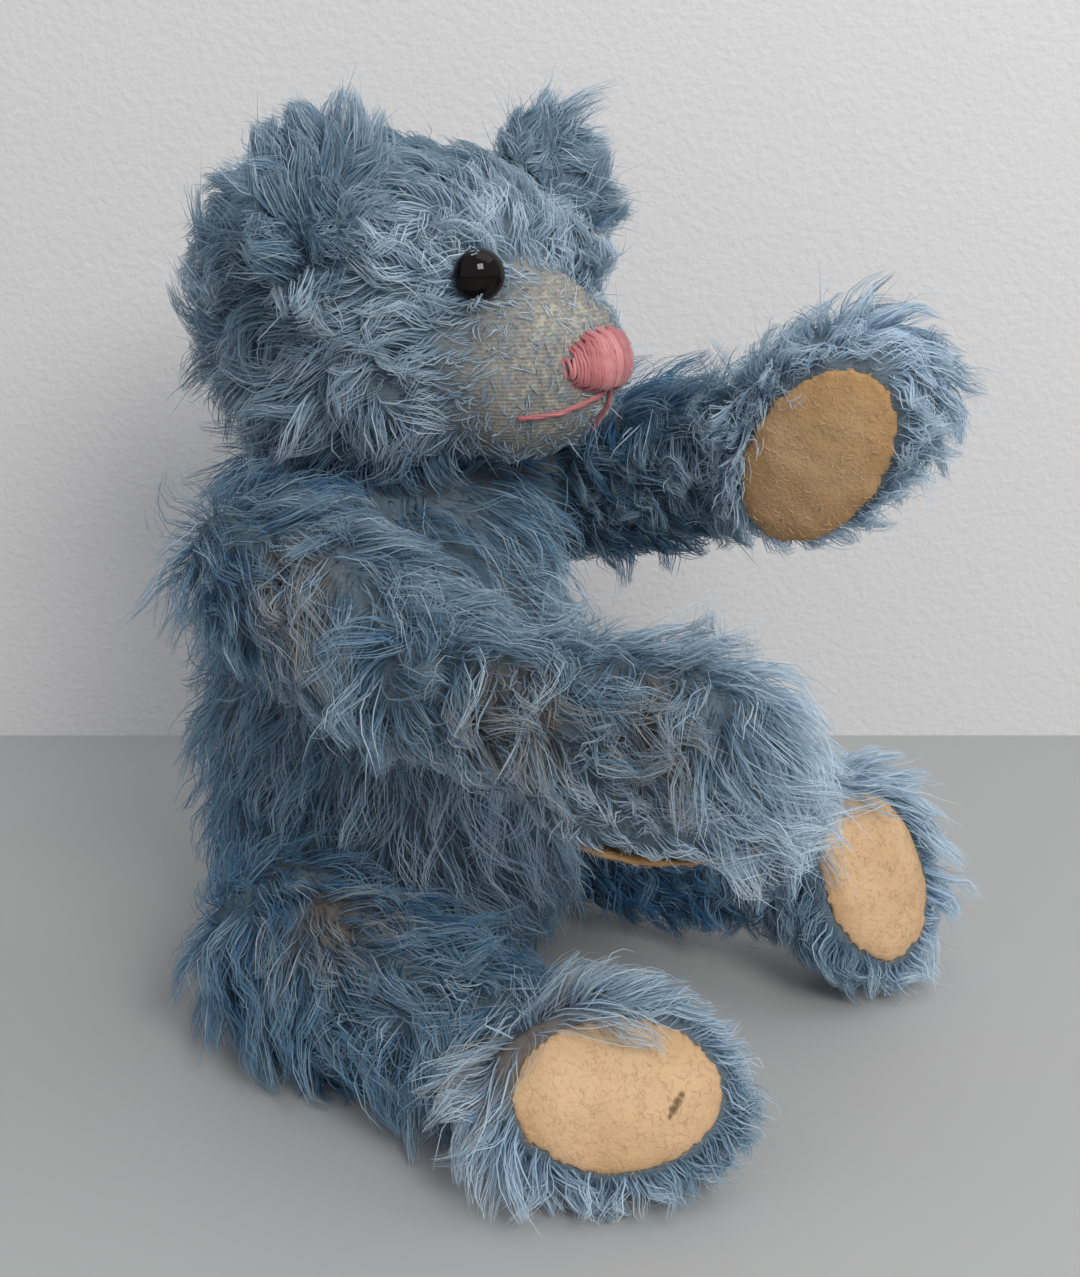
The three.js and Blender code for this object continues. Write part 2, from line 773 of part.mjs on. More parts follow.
function addTorsoAndHead() {
  let torso = jointed(torsoSolid(), neckDiscDiameter, -1, neckPlace);
  for (const side of [-1, 1]) {
    torso = jointed(torso, armDiscDiameter, -1, shoulderPlace(side));
    torso = jointed(torso, legDiscDiameter, -1, hipPlace(side));
  }
  addPiece('torso', torso, mohair);
  addPiece('head', jointed(headSolid(), neckDiscDiameter, 1, neckPlace), mohair);
}

addTorsoAndHead();
addPiece('ear_left', earSolid(1), earMohair);
addPiece('ear_right', earSolid(-1), earMohair);
addPiece('eye_left', eyeSolid(1), glass);
addPiece('eye_right', eyeSolid(-1), glass);
addPiece('nose_stitching', noseSolid(), pinkThread);
addPiece('mouth_stitching', mouthSolid(), pinkThread);
addArm('left', 1, leftArmAngle, leftPawPadAngle);
addArm('right', -1, rightArmAngle, rightPawPadAngle);
addLeg('left', 1, footPlace(1, leftSoleHeight, leftSoleYawAngle, leftSoleTiltAngle, leftFootRollAngle));
addLeg('right', -1, footPlace(-1, rightSoleHeight, rightSoleYawAngle, rightSoleTiltAngle, rightFootRollAngle));
addJointHardware('neck', neckPlace, neckDiscDiameter);
addJointHardware('shoulder_left', shoulderPlace(1), armDiscDiameter);
addJointHardware('shoulder_right', shoulderPlace(-1), armDiscDiameter);
addJointHardware('hip_left', hipPlace(1), legDiscDiameter);
addJointHardware('hip_right', hipPlace(-1), legDiscDiameter);

export default bear;
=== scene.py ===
"""The look of a worn blue mohair teddy bear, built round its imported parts.

Metres, +Z up. The bear looks along -Y and its left side is +X.
"""
import json
import math

import bmesh
import bpy
import numpy as np
from bpy.props import FloatProperty, FloatVectorProperty, IntProperty, PointerProperty
from mathutils import Matrix, Vector, kdtree, noise
from mathutils.bvhtree import BVHTree


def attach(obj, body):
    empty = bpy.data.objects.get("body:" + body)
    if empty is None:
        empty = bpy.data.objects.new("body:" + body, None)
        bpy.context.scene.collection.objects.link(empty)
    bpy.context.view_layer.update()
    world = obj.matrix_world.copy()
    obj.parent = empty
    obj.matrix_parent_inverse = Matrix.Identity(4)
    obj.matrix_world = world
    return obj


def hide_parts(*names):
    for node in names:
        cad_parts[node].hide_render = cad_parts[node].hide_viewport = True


bl_info = {
    "name": "Worn mohair bear",
    "version": (1, 0, 0),
    "blender": (4, 5, 0),
    "location": "3D View > Sidebar > Bear",
    "description": "Builds the cloth, pile, felt, eyes and stitches of a worn mohair bear",
    "category": "Object",
}

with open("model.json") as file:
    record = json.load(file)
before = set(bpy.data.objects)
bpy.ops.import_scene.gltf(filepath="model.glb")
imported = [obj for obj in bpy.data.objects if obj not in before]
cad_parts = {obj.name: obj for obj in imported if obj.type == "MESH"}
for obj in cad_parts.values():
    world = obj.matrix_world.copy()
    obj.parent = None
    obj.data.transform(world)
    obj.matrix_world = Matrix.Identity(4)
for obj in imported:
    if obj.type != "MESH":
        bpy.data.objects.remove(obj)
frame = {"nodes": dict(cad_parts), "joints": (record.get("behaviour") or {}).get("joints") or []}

UP = np.array((0.0, 0.0, 1.0))
UP_VECTOR = Vector((0, 0, 1))
VIEW_AZIMUTH = math.radians(-53.1)
VIEW_PITCH = math.radians(18.7)
CAMERA_PLACE = (-0.3731, -0.3261, 0.2667)
CAMERA_TO_WALL = 0.673
NOSE_TIP = np.array((0.0, -0.068, 0.181))
MUZZLE = np.array((0.0, -0.062, 0.177))
# Middle of the tuft on the bridge, beside the left eye
BROW_TUFT = np.array((0.0165, -0.0515, 0.2045))
# Middle of the painted shade in the fold under the left shoulder
ARM_ROOT = np.array((0.045, -0.040, 0.130))
EYE_HEIGHT = 0.205
FLOOR_CLEARANCE = 0.0006
# The sides of the small faces of each kind of surface
CLOTH_VOXEL = 0.0029
EAR_VOXEL = 0.0018
FELT_VOXEL = 0.0013
NOSE_VOXEL = 0.0007
EAR_BACKING_DEPTH = 0.0015
# How far the felt of the right paw stands out past its packed place
PAW_FELT_SHIFT = 0.0022
FIBRES_A_PAD = 1700
FIBRE_WIDTH = 0.00011
# The width of a strand's tip, as a share of its root
STRAND_TIP = 0.18
FIBRE_TIP = 0.6


def colour(name, description, value):
    return FloatVectorProperty(
        name=name, description=description, default=value, size=3, min=0, max=1, subtype="COLOR"
    )


def length(name, description, value):
    return FloatProperty(name=name, description=description, default=value, min=0, unit="LENGTH")


class BearSizes(bpy.types.PropertyGroup):
    pile_body: length("Body pile", "Length of the pile on the torso and limbs", 0.0215)
    pile_head: length("Head pile", "Length of the pile on the head", 0.0122)
    pile_nape: length("Nape pile", "Length of the pile at the back of the head", 0.0250)
    pile_paw: length("Paw pile", "Length of the pile round the paw pads", 0.0105)
    pile_foot: length("Foot pile", "Length of the pile round the soles", 0.0215)
    strand_width: length("Strand width", "Width of a strand at its root", 0.00039)
    backing_depth: length("Backing depth", "How far the backing lies inside the mean pile", 0.0048)
    lock_spacing: length("Lock spacing", "Distance between the locks of pile", 0.0066)
    head_strands: IntProperty(name="Head strands", description="Strands on the head", default=22500)
    torso_strands: IntProperty(name="Torso strands", description="Strands on the torso", default=12000)
    arm_strands: IntProperty(name="Arm strands", description="Strands on each arm", default=12200)
    leg_strands: IntProperty(name="Leg strands", description="Strands on each leg", default=12200)
    ear_strands: IntProperty(name="Ear strands", description="Strands on each ear", default=5000)
    fibre_length: length("Felt fibre", "Length of a loose fibre on the felt", 0.0021)
    eye_diameter: length("Eye diameter", "Width of a glass eye", 0.0125)
    nose_ply: length("Nose ply", "Radius of one ply of a nose stitch", 0.00048)
    mouth_ply: length("Mouth ply", "Radius of one ply of a mouth stitch", 0.00042)


class BearColours(bpy.types.PropertyGroup):
    # Deep blue is the pile's darkest colour and also the colour of the painted shade in the folds.
    deep: colour("Deep blue", "Pile in the sheltered places", (0.055, 0.220, 0.450))
    teal: colour("Teal", "Dull pile", (0.135, 0.275, 0.400))
    middle: colour("Blue grey", "Most of the pile", (0.295, 0.420, 0.510))
    light: colour("Light blue", "Faded pile", (0.570, 0.700, 0.800))
    worn: colour("Worn brown", "Pile where dirt and wear show", (0.300, 0.255, 0.215))
    backing: colour("Backing", "Cloth under the pile", (0.110, 0.150, 0.180))
    muzzle: colour("Muzzle", "Bare weave on the muzzle", (0.255, 0.243, 0.220))
    thread: colour("Weave thread", "Yellowed threads of the bare weave", (0.390, 0.358, 0.268))
    felt: colour("Felt", "Wool felt of the pads", (0.560, 0.375, 0.215))
    # Felt soil, and also the painted shade over the paw pads and in the slit of the right sole.
    felt_dark: colour("Soiled felt", "Felt where it is soiled", (0.360, 0.200, 0.075))
    stitch: colour("Stitching", "Thread of the nose and mouth", (0.300, 0.065, 0.072))
    stitch_light: colour("Stitching light", "Thread where it is rubbed", (0.520, 0.190, 0.195))
    eye: colour("Eye", "Black glass", (0.004, 0.002, 0.002))
    board: colour("Hardboard", "Joint discs", (0.250, 0.150, 0.080))
    steel: colour("Steel", "Washers and split pins", (0.420, 0.410, 0.390))
    wall: colour("Wall", "Backdrop", (0.610, 0.600, 0.595))
    table: colour("Table", "Floor", (0.350, 0.350, 0.345))


class Term:
    """A shader socket that takes part in Python sums and products."""

    def __init__(self, shader, socket):
        self.shader = shader
        self.socket = socket

    def maths(self, operation, *others, first=None):
        terms = [self, *others] if first is None else [first, self, *others]
        values = {i: term for i, term in enumerate(terms)}
        return self.shader.node("ShaderNodeMath", {"operation": operation}, values)

    def __add__(self, other):
        return self.maths("ADD", other)

    def __rsub__(self, other):
        return self.maths("SUBTRACT", first=other)

    def __mul__(self, other):
        return self.maths("MULTIPLY", other)

    __radd__ = __add__
    __rmul__ = __mul__

    def sine(self):
        return self.maths("SINE")

    def most(self, other):
        return self.maths("MAXIMUM", other)

    def ramp(self, low, high):
        """0 at low, 1 at high, eased."""
        settings = {"interpolation_type": "SMOOTHSTEP"}
        values = {"Value": self, "From Min": low, "From Max": high}
        return self.shader.node("ShaderNodeMapRange", settings, values)


class Shader:
    """Builds one material's nodes."""

    def __init__(self, name, roughness, metallic=0.0):
        self.material = bpy.data.materials.new(name)
        self.material.use_nodes = True
        self.nodes = self.material.node_tree.nodes
        self.links = self.material.node_tree.links
        self.surface = self.nodes["Principled BSDF"]
        self.surface.inputs["Roughness"].default_value = roughness
        self.surface.inputs["Metallic"].default_value = metallic

    def node(self, kind, settings=None, values=None, output=0):
        made = self.nodes.new(kind)
        for key, value in (settings or {}).items():
            setattr(made, key, value)
        for key, value in (values or {}).items():
            self.feed(made.inputs[key], value)
        return Term(self, made.outputs[output])

    def feed(self, socket, value):
        if isinstance(value, Term):
            self.links.new(value.socket, socket)
        elif socket.type == "RGBA":
            socket.default_value = (*value, 1.0)
        else:
            socket.default_value = value

    def set(self, name, value):
        self.feed(self.surface.inputs[name], value)

    def attribute(self, name):
        return self.node("ShaderNodeAttribute", {"attribute_name": name}, output="Fac")

    def place(self):
        return self.node("ShaderNodeTexCoord", output="Object")

    def axes(self, place):
        split = self.nodes.new("ShaderNodeSeparateXYZ")
        self.links.new(place.socket, split.inputs[0])
        return [Term(self, split.outputs[i]) for i in range(3)]

    def grain(self, place, scale, detail=2.0, roughness=0.5):
        values = {"Vector": place, "Scale": scale, "Detail": detail, "Roughness": roughness}
        return self.node("ShaderNodeTexNoise", {}, values)

    def stops(self, share, places, tints):
        made = self.nodes.new("ShaderNodeValToRGB")
        bands = made.color_ramp.elements
        while len(bands) < len(places):
            bands.new(0.5)
        for band, place in zip(bands, places):
            band.position = place
        for band, tint in zip(bands, tints):
            band.color = (*tint, 1.0)
        self.feed(made.inputs[0], share)
        return Term(self, made.outputs[0])

    def mix(self, share, first, second):
        made = self.nodes.new("ShaderNodeMix")
        made.data_type = "RGBA"
        for key, value in ((0, share), (6, first), (7, second)):
            self.feed(made.inputs[key], value)
        return Term(self, made.outputs[2])

    def distance(self, place, point):
        values = {0: place, 1: tuple(point)}
        return self.node("ShaderNodeVectorMath", {"operation": "DISTANCE"}, values, output="Value")

    def let_light_through(self, tint, share):
        through = self.node("ShaderNodeBsdfTranslucent", {}, {"Color": tint})
        both = self.node("ShaderNodeMixShader", {}, {0: share, 2: through})
        self.links.new(self.surface.outputs[0], both.socket.node.inputs[1])
        self.links.new(both.socket, self.nodes["Material Output"].inputs["Surface"])

    def bump(self, height, strength, distance):
        values = {"Height": height, "Strength": strength, "Distance": distance}
        self.set("Normal", self.node("ShaderNodeBump", {}, values))


def sizes():
    return bpy.context.scene.bear_sizes


def colours():
    return bpy.context.scene.bear_colours


def eased(values, low, high):
    share = np.clip((values - low) / (high - low), 0, 1)
    return share * share * (3 - 2 * share)


def unit(vectors):
    return vectors / np.maximum(np.linalg.norm(vectors, axis=-1, keepdims=True), 1e-12)


def across(vectors, normals):
    """The parts of vectors that lie in the surface."""
    return unit(vectors - (vectors * normals).sum(-1, keepdims=True) * normals)


def node_points(name):
    data = frame["nodes"][name].data
    found = np.zeros(len(data.vertices) * 3)
    data.vertices.foreach_get("co", found)
    return found.reshape(-1, 3)


class Pad:
    """Where a felt pad lies: centre, outward normal, long and short half axes."""

    def __init__(self, name, limb):
        points = node_points(name)
        self.centre = points.mean(0)
        turns = np.linalg.svd(points - self.centre, full_matrices=False)[2]
        inner = node_points(limb).mean(0)
        facing = 1 if turns[2] @ (self.centre - inner) > 0 else -1
        self.normal = turns[2] * facing
        self.long, self.short = turns[0], turns[1]
        offsets = points - self.centre
        self.half_long = np.abs(offsets @ self.long).max()
        self.half_short = np.abs(offsets @ self.short).max()

    def spread(self, points):
        """1 on the pad's rim, less inside it, seen along its normal."""
        offsets = points - self.centre
        return np.hypot((offsets @ self.long) / self.half_long, (offsets @ self.short) / self.half_short)

    def height(self, points):
        return (points - self.centre) @ self.normal


LIMBS = {
    "arm_left": "paw_pad_left",
    "arm_right": "paw_pad_right",
    "leg_left": "foot_pad_left",
    "leg_right": "foot_pad_right",
}
PADS = {limb: Pad(pad, limb) for limb, pad in LIMBS.items()}
FURRED = ("torso", "head", "ear_left", "ear_right", *LIMBS)


def joint_nearness(points, radius, reach):
    """1 within radius of a disc joint's axis and reach of its plane, and 0 away from there."""
    near = np.zeros(len(points))
    for joint in frame["joints"]:
        offset = points - np.array(joint["pos_m"])
        axis = np.array(joint["axis"])
        along = offset @ axis
        radial = np.linalg.norm(offset - along[:, None] * axis, axis=1)
        inside = 1 - eased(radial, radius, radius * 1.3)
        near = np.maximum(near, inside * (1 - eased(np.abs(along), reach, reach * 1.6)))
    return near


def muzzle_nearness(points):
    """1 on the clipped muzzle and 0 in the pile round it."""
    offset = points - MUZZLE
    tall = np.where(offset[:, 2] > 0.004, 0.027 - 0.009 * eased(offset[:, 0], -0.004, 0.008), 0.027)
    spread = np.sqrt((offset[:, 0] / 0.029) ** 2 + ((offset[:, 2] - 0.004) / tall) ** 2)
    front = 1 - eased(offset[:, 1], 0.024, 0.034)
    return (1 - eased(spread, 0.80, 1.15)) * front * (1 - brow_nearness(points))


def brow_nearness(points):
    """1 in the tuft on the bridge that hides the left eye from the right."""
    gap = np.linalg.norm(points - BROW_TUFT, axis=1)
    return 1 - eased(gap, 0.005, 0.010)


def eye_nearness(points):
    near = np.zeros(len(points))
    for name in ("eye_left", "eye_right"):
        gap = np.linalg.norm(points - node_points(name).mean(0), axis=1)
        near = np.maximum(near, 1 - eased(gap, 0.0045, 0.0075))
    return near


def pad_nearness(points, limb):
    if limb not in PADS:
        return np.zeros(len(points))
    pad = PADS[limb]
    return (1 - eased(pad.spread(points), 1.0, 1.45)) * eased(pad.height(points), -0.022, -0.008)


def linked(name, data):
    made = bpy.data.objects.new(name, data)
    bpy.context.scene.collection.objects.link(made)
    return made


def finished_object(name, mesh, body, material):
    """A smooth piece of one material that moves with a body."""
    mesh.shade_smooth()
    mesh.materials.clear()
    mesh.materials.append(material)
    made = linked(name, mesh)
    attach(made, body)
    return made


def finished_mesh(source):
    """The mesh of an object with its modifiers applied. The object goes."""
    graph = bpy.context.evaluated_depsgraph_get()
    graph.update()
    mesh = bpy.data.meshes.new_from_object(source.evaluated_get(graph))
    bpy.data.objects.remove(source)
    return mesh


def even_copy(node, voxel, rounds):
    """A copy of a part's mesh with even small faces and no inner shells."""
    source = linked(f"{node}_source", frame["nodes"][node].data.copy())
    remesh = source.modifiers.new("even", "REMESH")
    remesh.mode = "VOXEL"
    remesh.voxel_size = voxel
    smooth = source.modifiers.new("smooth", "SMOOTH")
    smooth.factor = 0.5
    smooth.iterations = rounds
    mesh = finished_mesh(source)
    keep_largest(mesh)
    return mesh


def keep_largest(mesh):
    form = bmesh.new()
    form.from_mesh(mesh)
    left = set(form.verts)
    shells = []
    while left:
        edge = [left.pop()]
        shell = set(edge)
        while edge:
            for link in edge.pop().link_edges:
                for vertex in link.verts:
                    if vertex in left:
                        left.discard(vertex)
                        shell.add(vertex)
                        edge.append(vertex)
        shells.append(shell)
    shells.sort(key=len)
    gone = [vertex for shell in shells[:-1] for vertex in shell]
    bmesh.ops.delete(form, geom=gone, context="VERTS")
    form.to_mesh(mesh)
    form.free()


def set_point_values(mesh, **values):
    """Numbers on the points of a mesh, by name, for its material to read."""
    for name, numbers in values.items():
        made = mesh.attributes.new(name, "FLOAT", "POINT")
        made.data.foreach_set("value", np.asarray(numbers, dtype=np.float32))


def point_values(mesh, name):
    found = np.zeros(len(mesh.vertices), dtype=np.float32)
    mesh.attributes[name].data.foreach_get("value", found)
    return found


def vertex_arrays(mesh):
    places = np.zeros(len(mesh.vertices) * 3)
    normals = np.zeros(len(mesh.vertices) * 3)
    mesh.vertices.foreach_get("co", places)
    mesh.vertices.foreach_get("normal", normals)
    return places.reshape(-1, 3), normals.reshape(-1, 3)


def make_backing(node, name, body, material):
    """The backing cloth, drawn in under the pile except at joints, pads, muzzle and eyes."""
    thin = node.startswith("ear")
    mesh = even_copy(node, EAR_VOXEL if thin else CLOTH_VOXEL, 2)
    places, normals = vertex_arrays(mesh)
    held = np.maximum(joint_nearness(places, 0.0225, 0.0105), pad_nearness(places, node))
    if node == "head":
        held = np.maximum(held, np.maximum(muzzle_nearness(places), eye_nearness(places)))
    depth = np.full(len(places), EAR_BACKING_DEPTH if thin else sizes().backing_depth)
    if node == "head":
        depth -= 0.0060 * eased(places[:, 1], -0.005, 0.028)
    if node == "torso":
        depth -= 0.0040 * eased(places[:, 1], 0.015, 0.045)
    if node.startswith("arm"):
        depth -= 0.0028 * normals[:, 2]
    if node.startswith("leg"):
        depth += 0.0030 * eased(PADS[node].height(places), -0.045, -0.015)
    if node == "leg_left":
        depth += 0.0035 * eased(-PADS[node].height(places), 0.030, 0.045)
    depth *= 1 - held
    places -= normals * depth[:, None]
    places[:, 2] = np.maximum(places[:, 2], FLOOR_CLEARANCE)
    mesh.vertices.foreach_set("co", places.ravel())
    mesh.update()
    bare = muzzle_nearness(places) if node == "head" else np.zeros(len(places))
    set_point_values(mesh, bare=bare, rubbed=rubbed(node, places))
    cloth = finished_object(name, mesh, body, material)
    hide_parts(node)
    return cloth


class Coat:
    """Roots of pile on a cloth, with the way that each strand is combed."""

    def __init__(self, cloth, node, count, seed):
        self.node = node
        self.random = np.random.default_rng(seed)
        self.seed = seed
        mesh = cloth.data
        mesh.calc_loop_triangles()
        corners = np.zeros(len(mesh.loop_triangles) * 3, dtype=int)
        mesh.loop_triangles.foreach_get("vertices", corners)
        corners = corners.reshape(-1, 3)
        places, normals = vertex_arrays(mesh)
        a, b, c = (places[corners[:, i]] for i in range(3))
        area = np.linalg.norm(np.cross(b - a, c - a), axis=1) / 2
        middle = (a + b + c) / 3
        weight = area * self.density(middle)
        pick = self.random.choice(len(corners), size=count, p=weight / weight.sum())
        shares = self.random.random((count, 2))
        over = shares.sum(1) > 1
        shares[over] = 1 - shares[over]
        first, second = shares[:, :1], shares[:, 1:]
        weights = (1 - first - second, first, second)
        self.roots = sum(weight * places[corners[pick, i]] for i, weight in enumerate(weights))
        self.normals = unit(sum(weight * normals[corners[pick, i]] for i, weight in enumerate(weights)))

    def density(self, places):
        """Strands per area, 1 where the pile is whole."""
        share = 1 - joint_nearness(places, 0.024, 0.0030)
        share *= 1 - 0.5 * joint_nearness(places, 0.022, 0.014)
        share[places[:, 2] < 0.004] *= 0.35
        if self.node == "head":
            share *= 1 - np.clip(0.60 * muzzle_nearness(places) + eye_nearness(places), 0, 1)
            share *= 1 + 4.5 * brow_nearness(places)
        if self.node in PADS:
            pad = PADS[self.node]
            under = (pad.spread(places) < 0.985) & (np.abs(pad.height(places)) < 0.014)
            share[under] = 0
            rim = (pad.spread(places) < 1.5) & (pad.height(places) > -0.016)
            share[rim & ~under] *= 1.7 if self.node.startswith("leg") else 0.9
        for centre, radius, left in WORN_SPOTS.get(self.node, ()):
            gap = np.linalg.norm(places - np.array(centre), axis=1)
            share *= left + (1 - left) * eased(gap, radius * 0.5, radius)
        return np.maximum(share, 1e-6)


# Centre, radius and the share of pile left, for each place that is rubbed
WORN_SPOTS = {
    "arm_right": (
        ((-0.0718, -0.0226, 0.1354), 0.015, 0.80),
        ((-0.0642, -0.0831, 0.1147), 0.016, 0.85),
        ((-0.0580, -0.1162, 0.1204), 0.014, 0.85),
    ),
    "leg_right": (
        ((-0.0735, -0.0970, 0.0430), 0.014, 0.25),
        ((-0.0607, -0.0257, 0.0519), 0.016, 0.90),
    ),
}


def rubbed(node, places):
    """How far the pile is rubbed and brown, from 0 to 1."""
    found = np.zeros(len(places))
    for centre, radius, _ in WORN_SPOTS.get(node, ()):
        gap = np.linalg.norm(places - np.array(centre), axis=1)
        found = np.maximum(found, 1 - eased(gap, radius * 0.5, radius * 1.25))
    return found


# Centre, reach and turn of each place where the pile grows round in a whorl
WHORLS = {
    "head": (
        ((-0.0407, -0.0262, 0.1804), 0.017, 1.1),
        ((-0.0380, 0.0150, 0.1900), 0.016, -1.0),
        ((-0.0200, -0.0330, 0.2200), 0.013, 0.9),
        ((0.0380, -0.0200, 0.1850), 0.016, -1.0),
    ),
    "torso": (
        ((-0.0280, -0.0420, 0.1180), 0.014, 1.0),
        ((0.0080, -0.0480, 0.1050), 0.014, -1.0),
        ((-0.0200, 0.0500, 0.0900), 0.018, 1.0),
    ),
    "arm_right": (((-0.0700, -0.0550, 0.1230), 0.013, 0.9),),
    "arm_left": (((0.0700, -0.0600, 0.1500), 0.014, -0.9),),
    "leg_right": (((-0.0750, -0.0500, 0.0350), 0.014, -0.9),),
    "leg_left": (((0.0750, -0.0500, 0.0350), 0.014, 0.9),),
}


def whirled(flow, places, normals, node):
    """The combing with the whorls of a part added."""
    for centre, reach, turn in WHORLS.get(node, ()):
        offset = places - np.array(centre)
        near = np.exp(-((offset / reach) ** 2).sum(1))[:, None]
        away = across(offset, normals)
        flow = flow * (1 - 0.8 * near) + (away * 0.15 + np.cross(normals, away) * turn) * near * 1.3
    return flow


def comb_head(places, normals):
    away = places - NOSE_TIP
    away[:, 1] *= 0.8
    fall = np.zeros_like(away)
    fall[:, 2] = -1
    low = 1 - eased(places[:, 2], 0.165, 0.215)
    flow = unit(away) + fall * (0.15 + 0.75 * low)[:, None]
    tuft = brow_nearness(places)[:, None]
    return flow * (1 - tuft) + np.array((-0.25, 0.0, 1.0)) * tuft


def comb_ear(side):
    root = np.array((side * 0.031, -0.017, 0.199))

    def comb(places, normals):
        forward = eased(-places[:, 1], 0.008, 0.024)[:, None] * (side < 0)
        outward = eased(places[:, 0], 0.040, 0.052)[:, None]
        flow = unit(places - root) + np.array((0.5, -0.7, -0.1)) * forward
        return flow + np.array((0.8, -0.5, -0.3)) * outward

    return comb


def comb_torso(places, normals):
    out = places.copy()
    out[:, 2] = 0
    return unit(out) * 0.15 + np.array((0.0, 0.05, -1.0))


def comb_limb(limb, hang):
    pad = PADS[limb]

    def comb(places, normals):
        above = eased(normals[:, 2], -0.7, 0.3)[:, None]
        flow = np.array((0.0, -0.85, 0.0)) - UP * hang * (0.25 + 0.75 * above)
        if limb in CROWNS:
            near = 1 - eased(-pad.height(places), 0.018, 0.050)[:, None]
            facing = np.tile(pad.normal, (len(places), 1))
            out = across(places - np.array(CROWNS[limb]), facing)
            over = eased(places[:, 2] - pad.centre[2], 0.0, 0.018)[:, None]
            radiate = out * (0.95 - 0.2 * over) + pad.normal * (0.20 + 0.85 * over)
            radiate = radiate - UP * (0.25 + 0.45 * over)
            flow = flow * (1 - near) + radiate * near
        return flow

    return comb


# Where the pile of each foot parts, beside the upper rim of its sole
CROWNS = {"leg_right": (-0.0720, -0.0985, 0.0410), "leg_left": (0.0530, -0.1060, 0.0600)}


def swirl(places, seed, reach, size):
    """A slow wandering angle over the surface, in radians."""
    shift = Vector((seed * 3.1, seed * 1.7, seed * 0.9))
    found = [noise.noise(Vector(place) / size + shift) for place in places]
    return reach * np.array(found)


def turned_in_surface(flow, normals, angle):
    side = np.cross(normals, flow)
    return flow * np.cos(angle)[:, None] + side * np.sin(angle)[:, None]


def grow(coat, comb, points, lift, settle, droop, wander, tightness, curl):
    """Strand centre lines, as strands by points by 3, and each strand's lock."""
    random = coat.random
    roots, normals = coat.roots, coat.normals
    count = len(roots)
    lock, own = locks_of(coat)
    flow = across(whirled(comb(roots, normals), roots, normals, coat.node), normals)
    flow = turned_in_surface(flow, normals, swirl(roots, coat.seed, wander, 0.030))
    flow = turned_in_surface(flow, normals, swirl(roots, coat.seed + 40, 0.9, 0.011))
    turn = random.normal(0, 0.30, count)[own] + random.normal(0, 0.12, count)
    flow = turned_in_surface(flow, normals, turn)
    reach = pile_of(coat) * random.uniform(0.70, 1.15, count)
    steps = np.linspace(0, 1, points)
    rise = random.normal(0, 9, count)[own]
    lifts = np.radians(lift + rise + extra_lift(coat) + random.normal(0, 5, count))
    rests = np.radians(settle + rise + random.normal(0, 7, count))
    lines = np.zeros((count, points, 3))
    lines[:, 0] = roots
    for i in range(1, points):
        share = (steps[i] + steps[i - 1]) / 2
        angle = lifts * (1 - share) + rests * share
        step = flow * np.cos(angle)[:, None] + normals * np.sin(angle)[:, None]
        step = step - UP * droop * share
        lines[:, i] = lines[:, i - 1] + unit(step) * (reach / (points - 1))[:, None]
    lead = lines[own]
    pull = tightness * steps**1.3
    lines = lines + (lead - lines) * pull[None, :, None]
    side = np.cross(normals, flow)
    phase = random.uniform(0, 2 * math.pi, count)[own] + random.normal(0, 0.35, count)
    turns = 2 * math.pi * random.uniform(0.7, 1.25, count)[own]
    size = curl * random.uniform(0.5, 1.5, count)[own] * np.clip(reach / 0.012, 0.15, 1.0)
    angle = steps[None, :] * turns[:, None] + phase[:, None]
    reach_out = steps[None, :] * size[:, None]
    sway = (np.sin(angle) - np.sin(phase)[:, None]) * reach_out
    heave = (np.cos(angle) - np.cos(phase)[:, None]) * reach_out * 0.5
    lines = lines + side[:, None, :] * sway[:, :, None] + normals[:, None, :] * heave[:, :, None]
    stray = random.normal(0, 1, (count, 3)) * (0.0003 + 0.0028 * (random.random(count) > 0.90))[:, None]
    lines = lines + stray[:, None, :] * (steps**1.5)[None, :, None]
    lines[:, :, 2] = np.maximum(lines[:, :, 2], FLOOR_CLEARANCE + 0.0004 * random.random((count, 1)))
    return lines, lock


def extra_lift(coat):
    """How much steeper than usual the strands leave the cloth, in degrees."""
    places = coat.roots
    if coat.node == "head":
        return 25 * brow_nearness(places) + 16 * eased(places[:, 1], -0.02, 0.03)
    if coat.node == "torso":
        nape = 22 * eased(places[:, 2], 0.118, 0.140) * eased(places[:, 1], -0.02, 0.02)
        chest = 16 * eased(places[:, 2], 0.080, 0.105) * eased(-places[:, 1], 0.010, 0.030)
        return nape + chest + 3 * eased(places[:, 1], 0.015, 0.045)
    return np.zeros(len(places))


def locks_of(coat):
    """Each strand's lock, and the strand that leads that lock."""
    roots, random = coat.roots, coat.random
    order = random.permutation(len(roots))
    spacing = sizes().lock_spacing
    leaders = []
    cells = {}
    for i in order:
        cell = tuple((roots[i] // spacing).astype(int))
        if cell not in cells:
            cells[cell] = i
            leaders.append(i)
    tree = kdtree.KDTree(len(leaders))
    for n, i in enumerate(leaders):
        tree.insert(roots[i], n)
    tree.balance()
    jitter = random.normal(0, spacing * 0.16, roots.shape)
    lock = np.array([tree.find(place)[1] for place in roots + jitter])
    return lock, np.array(leaders)[lock]


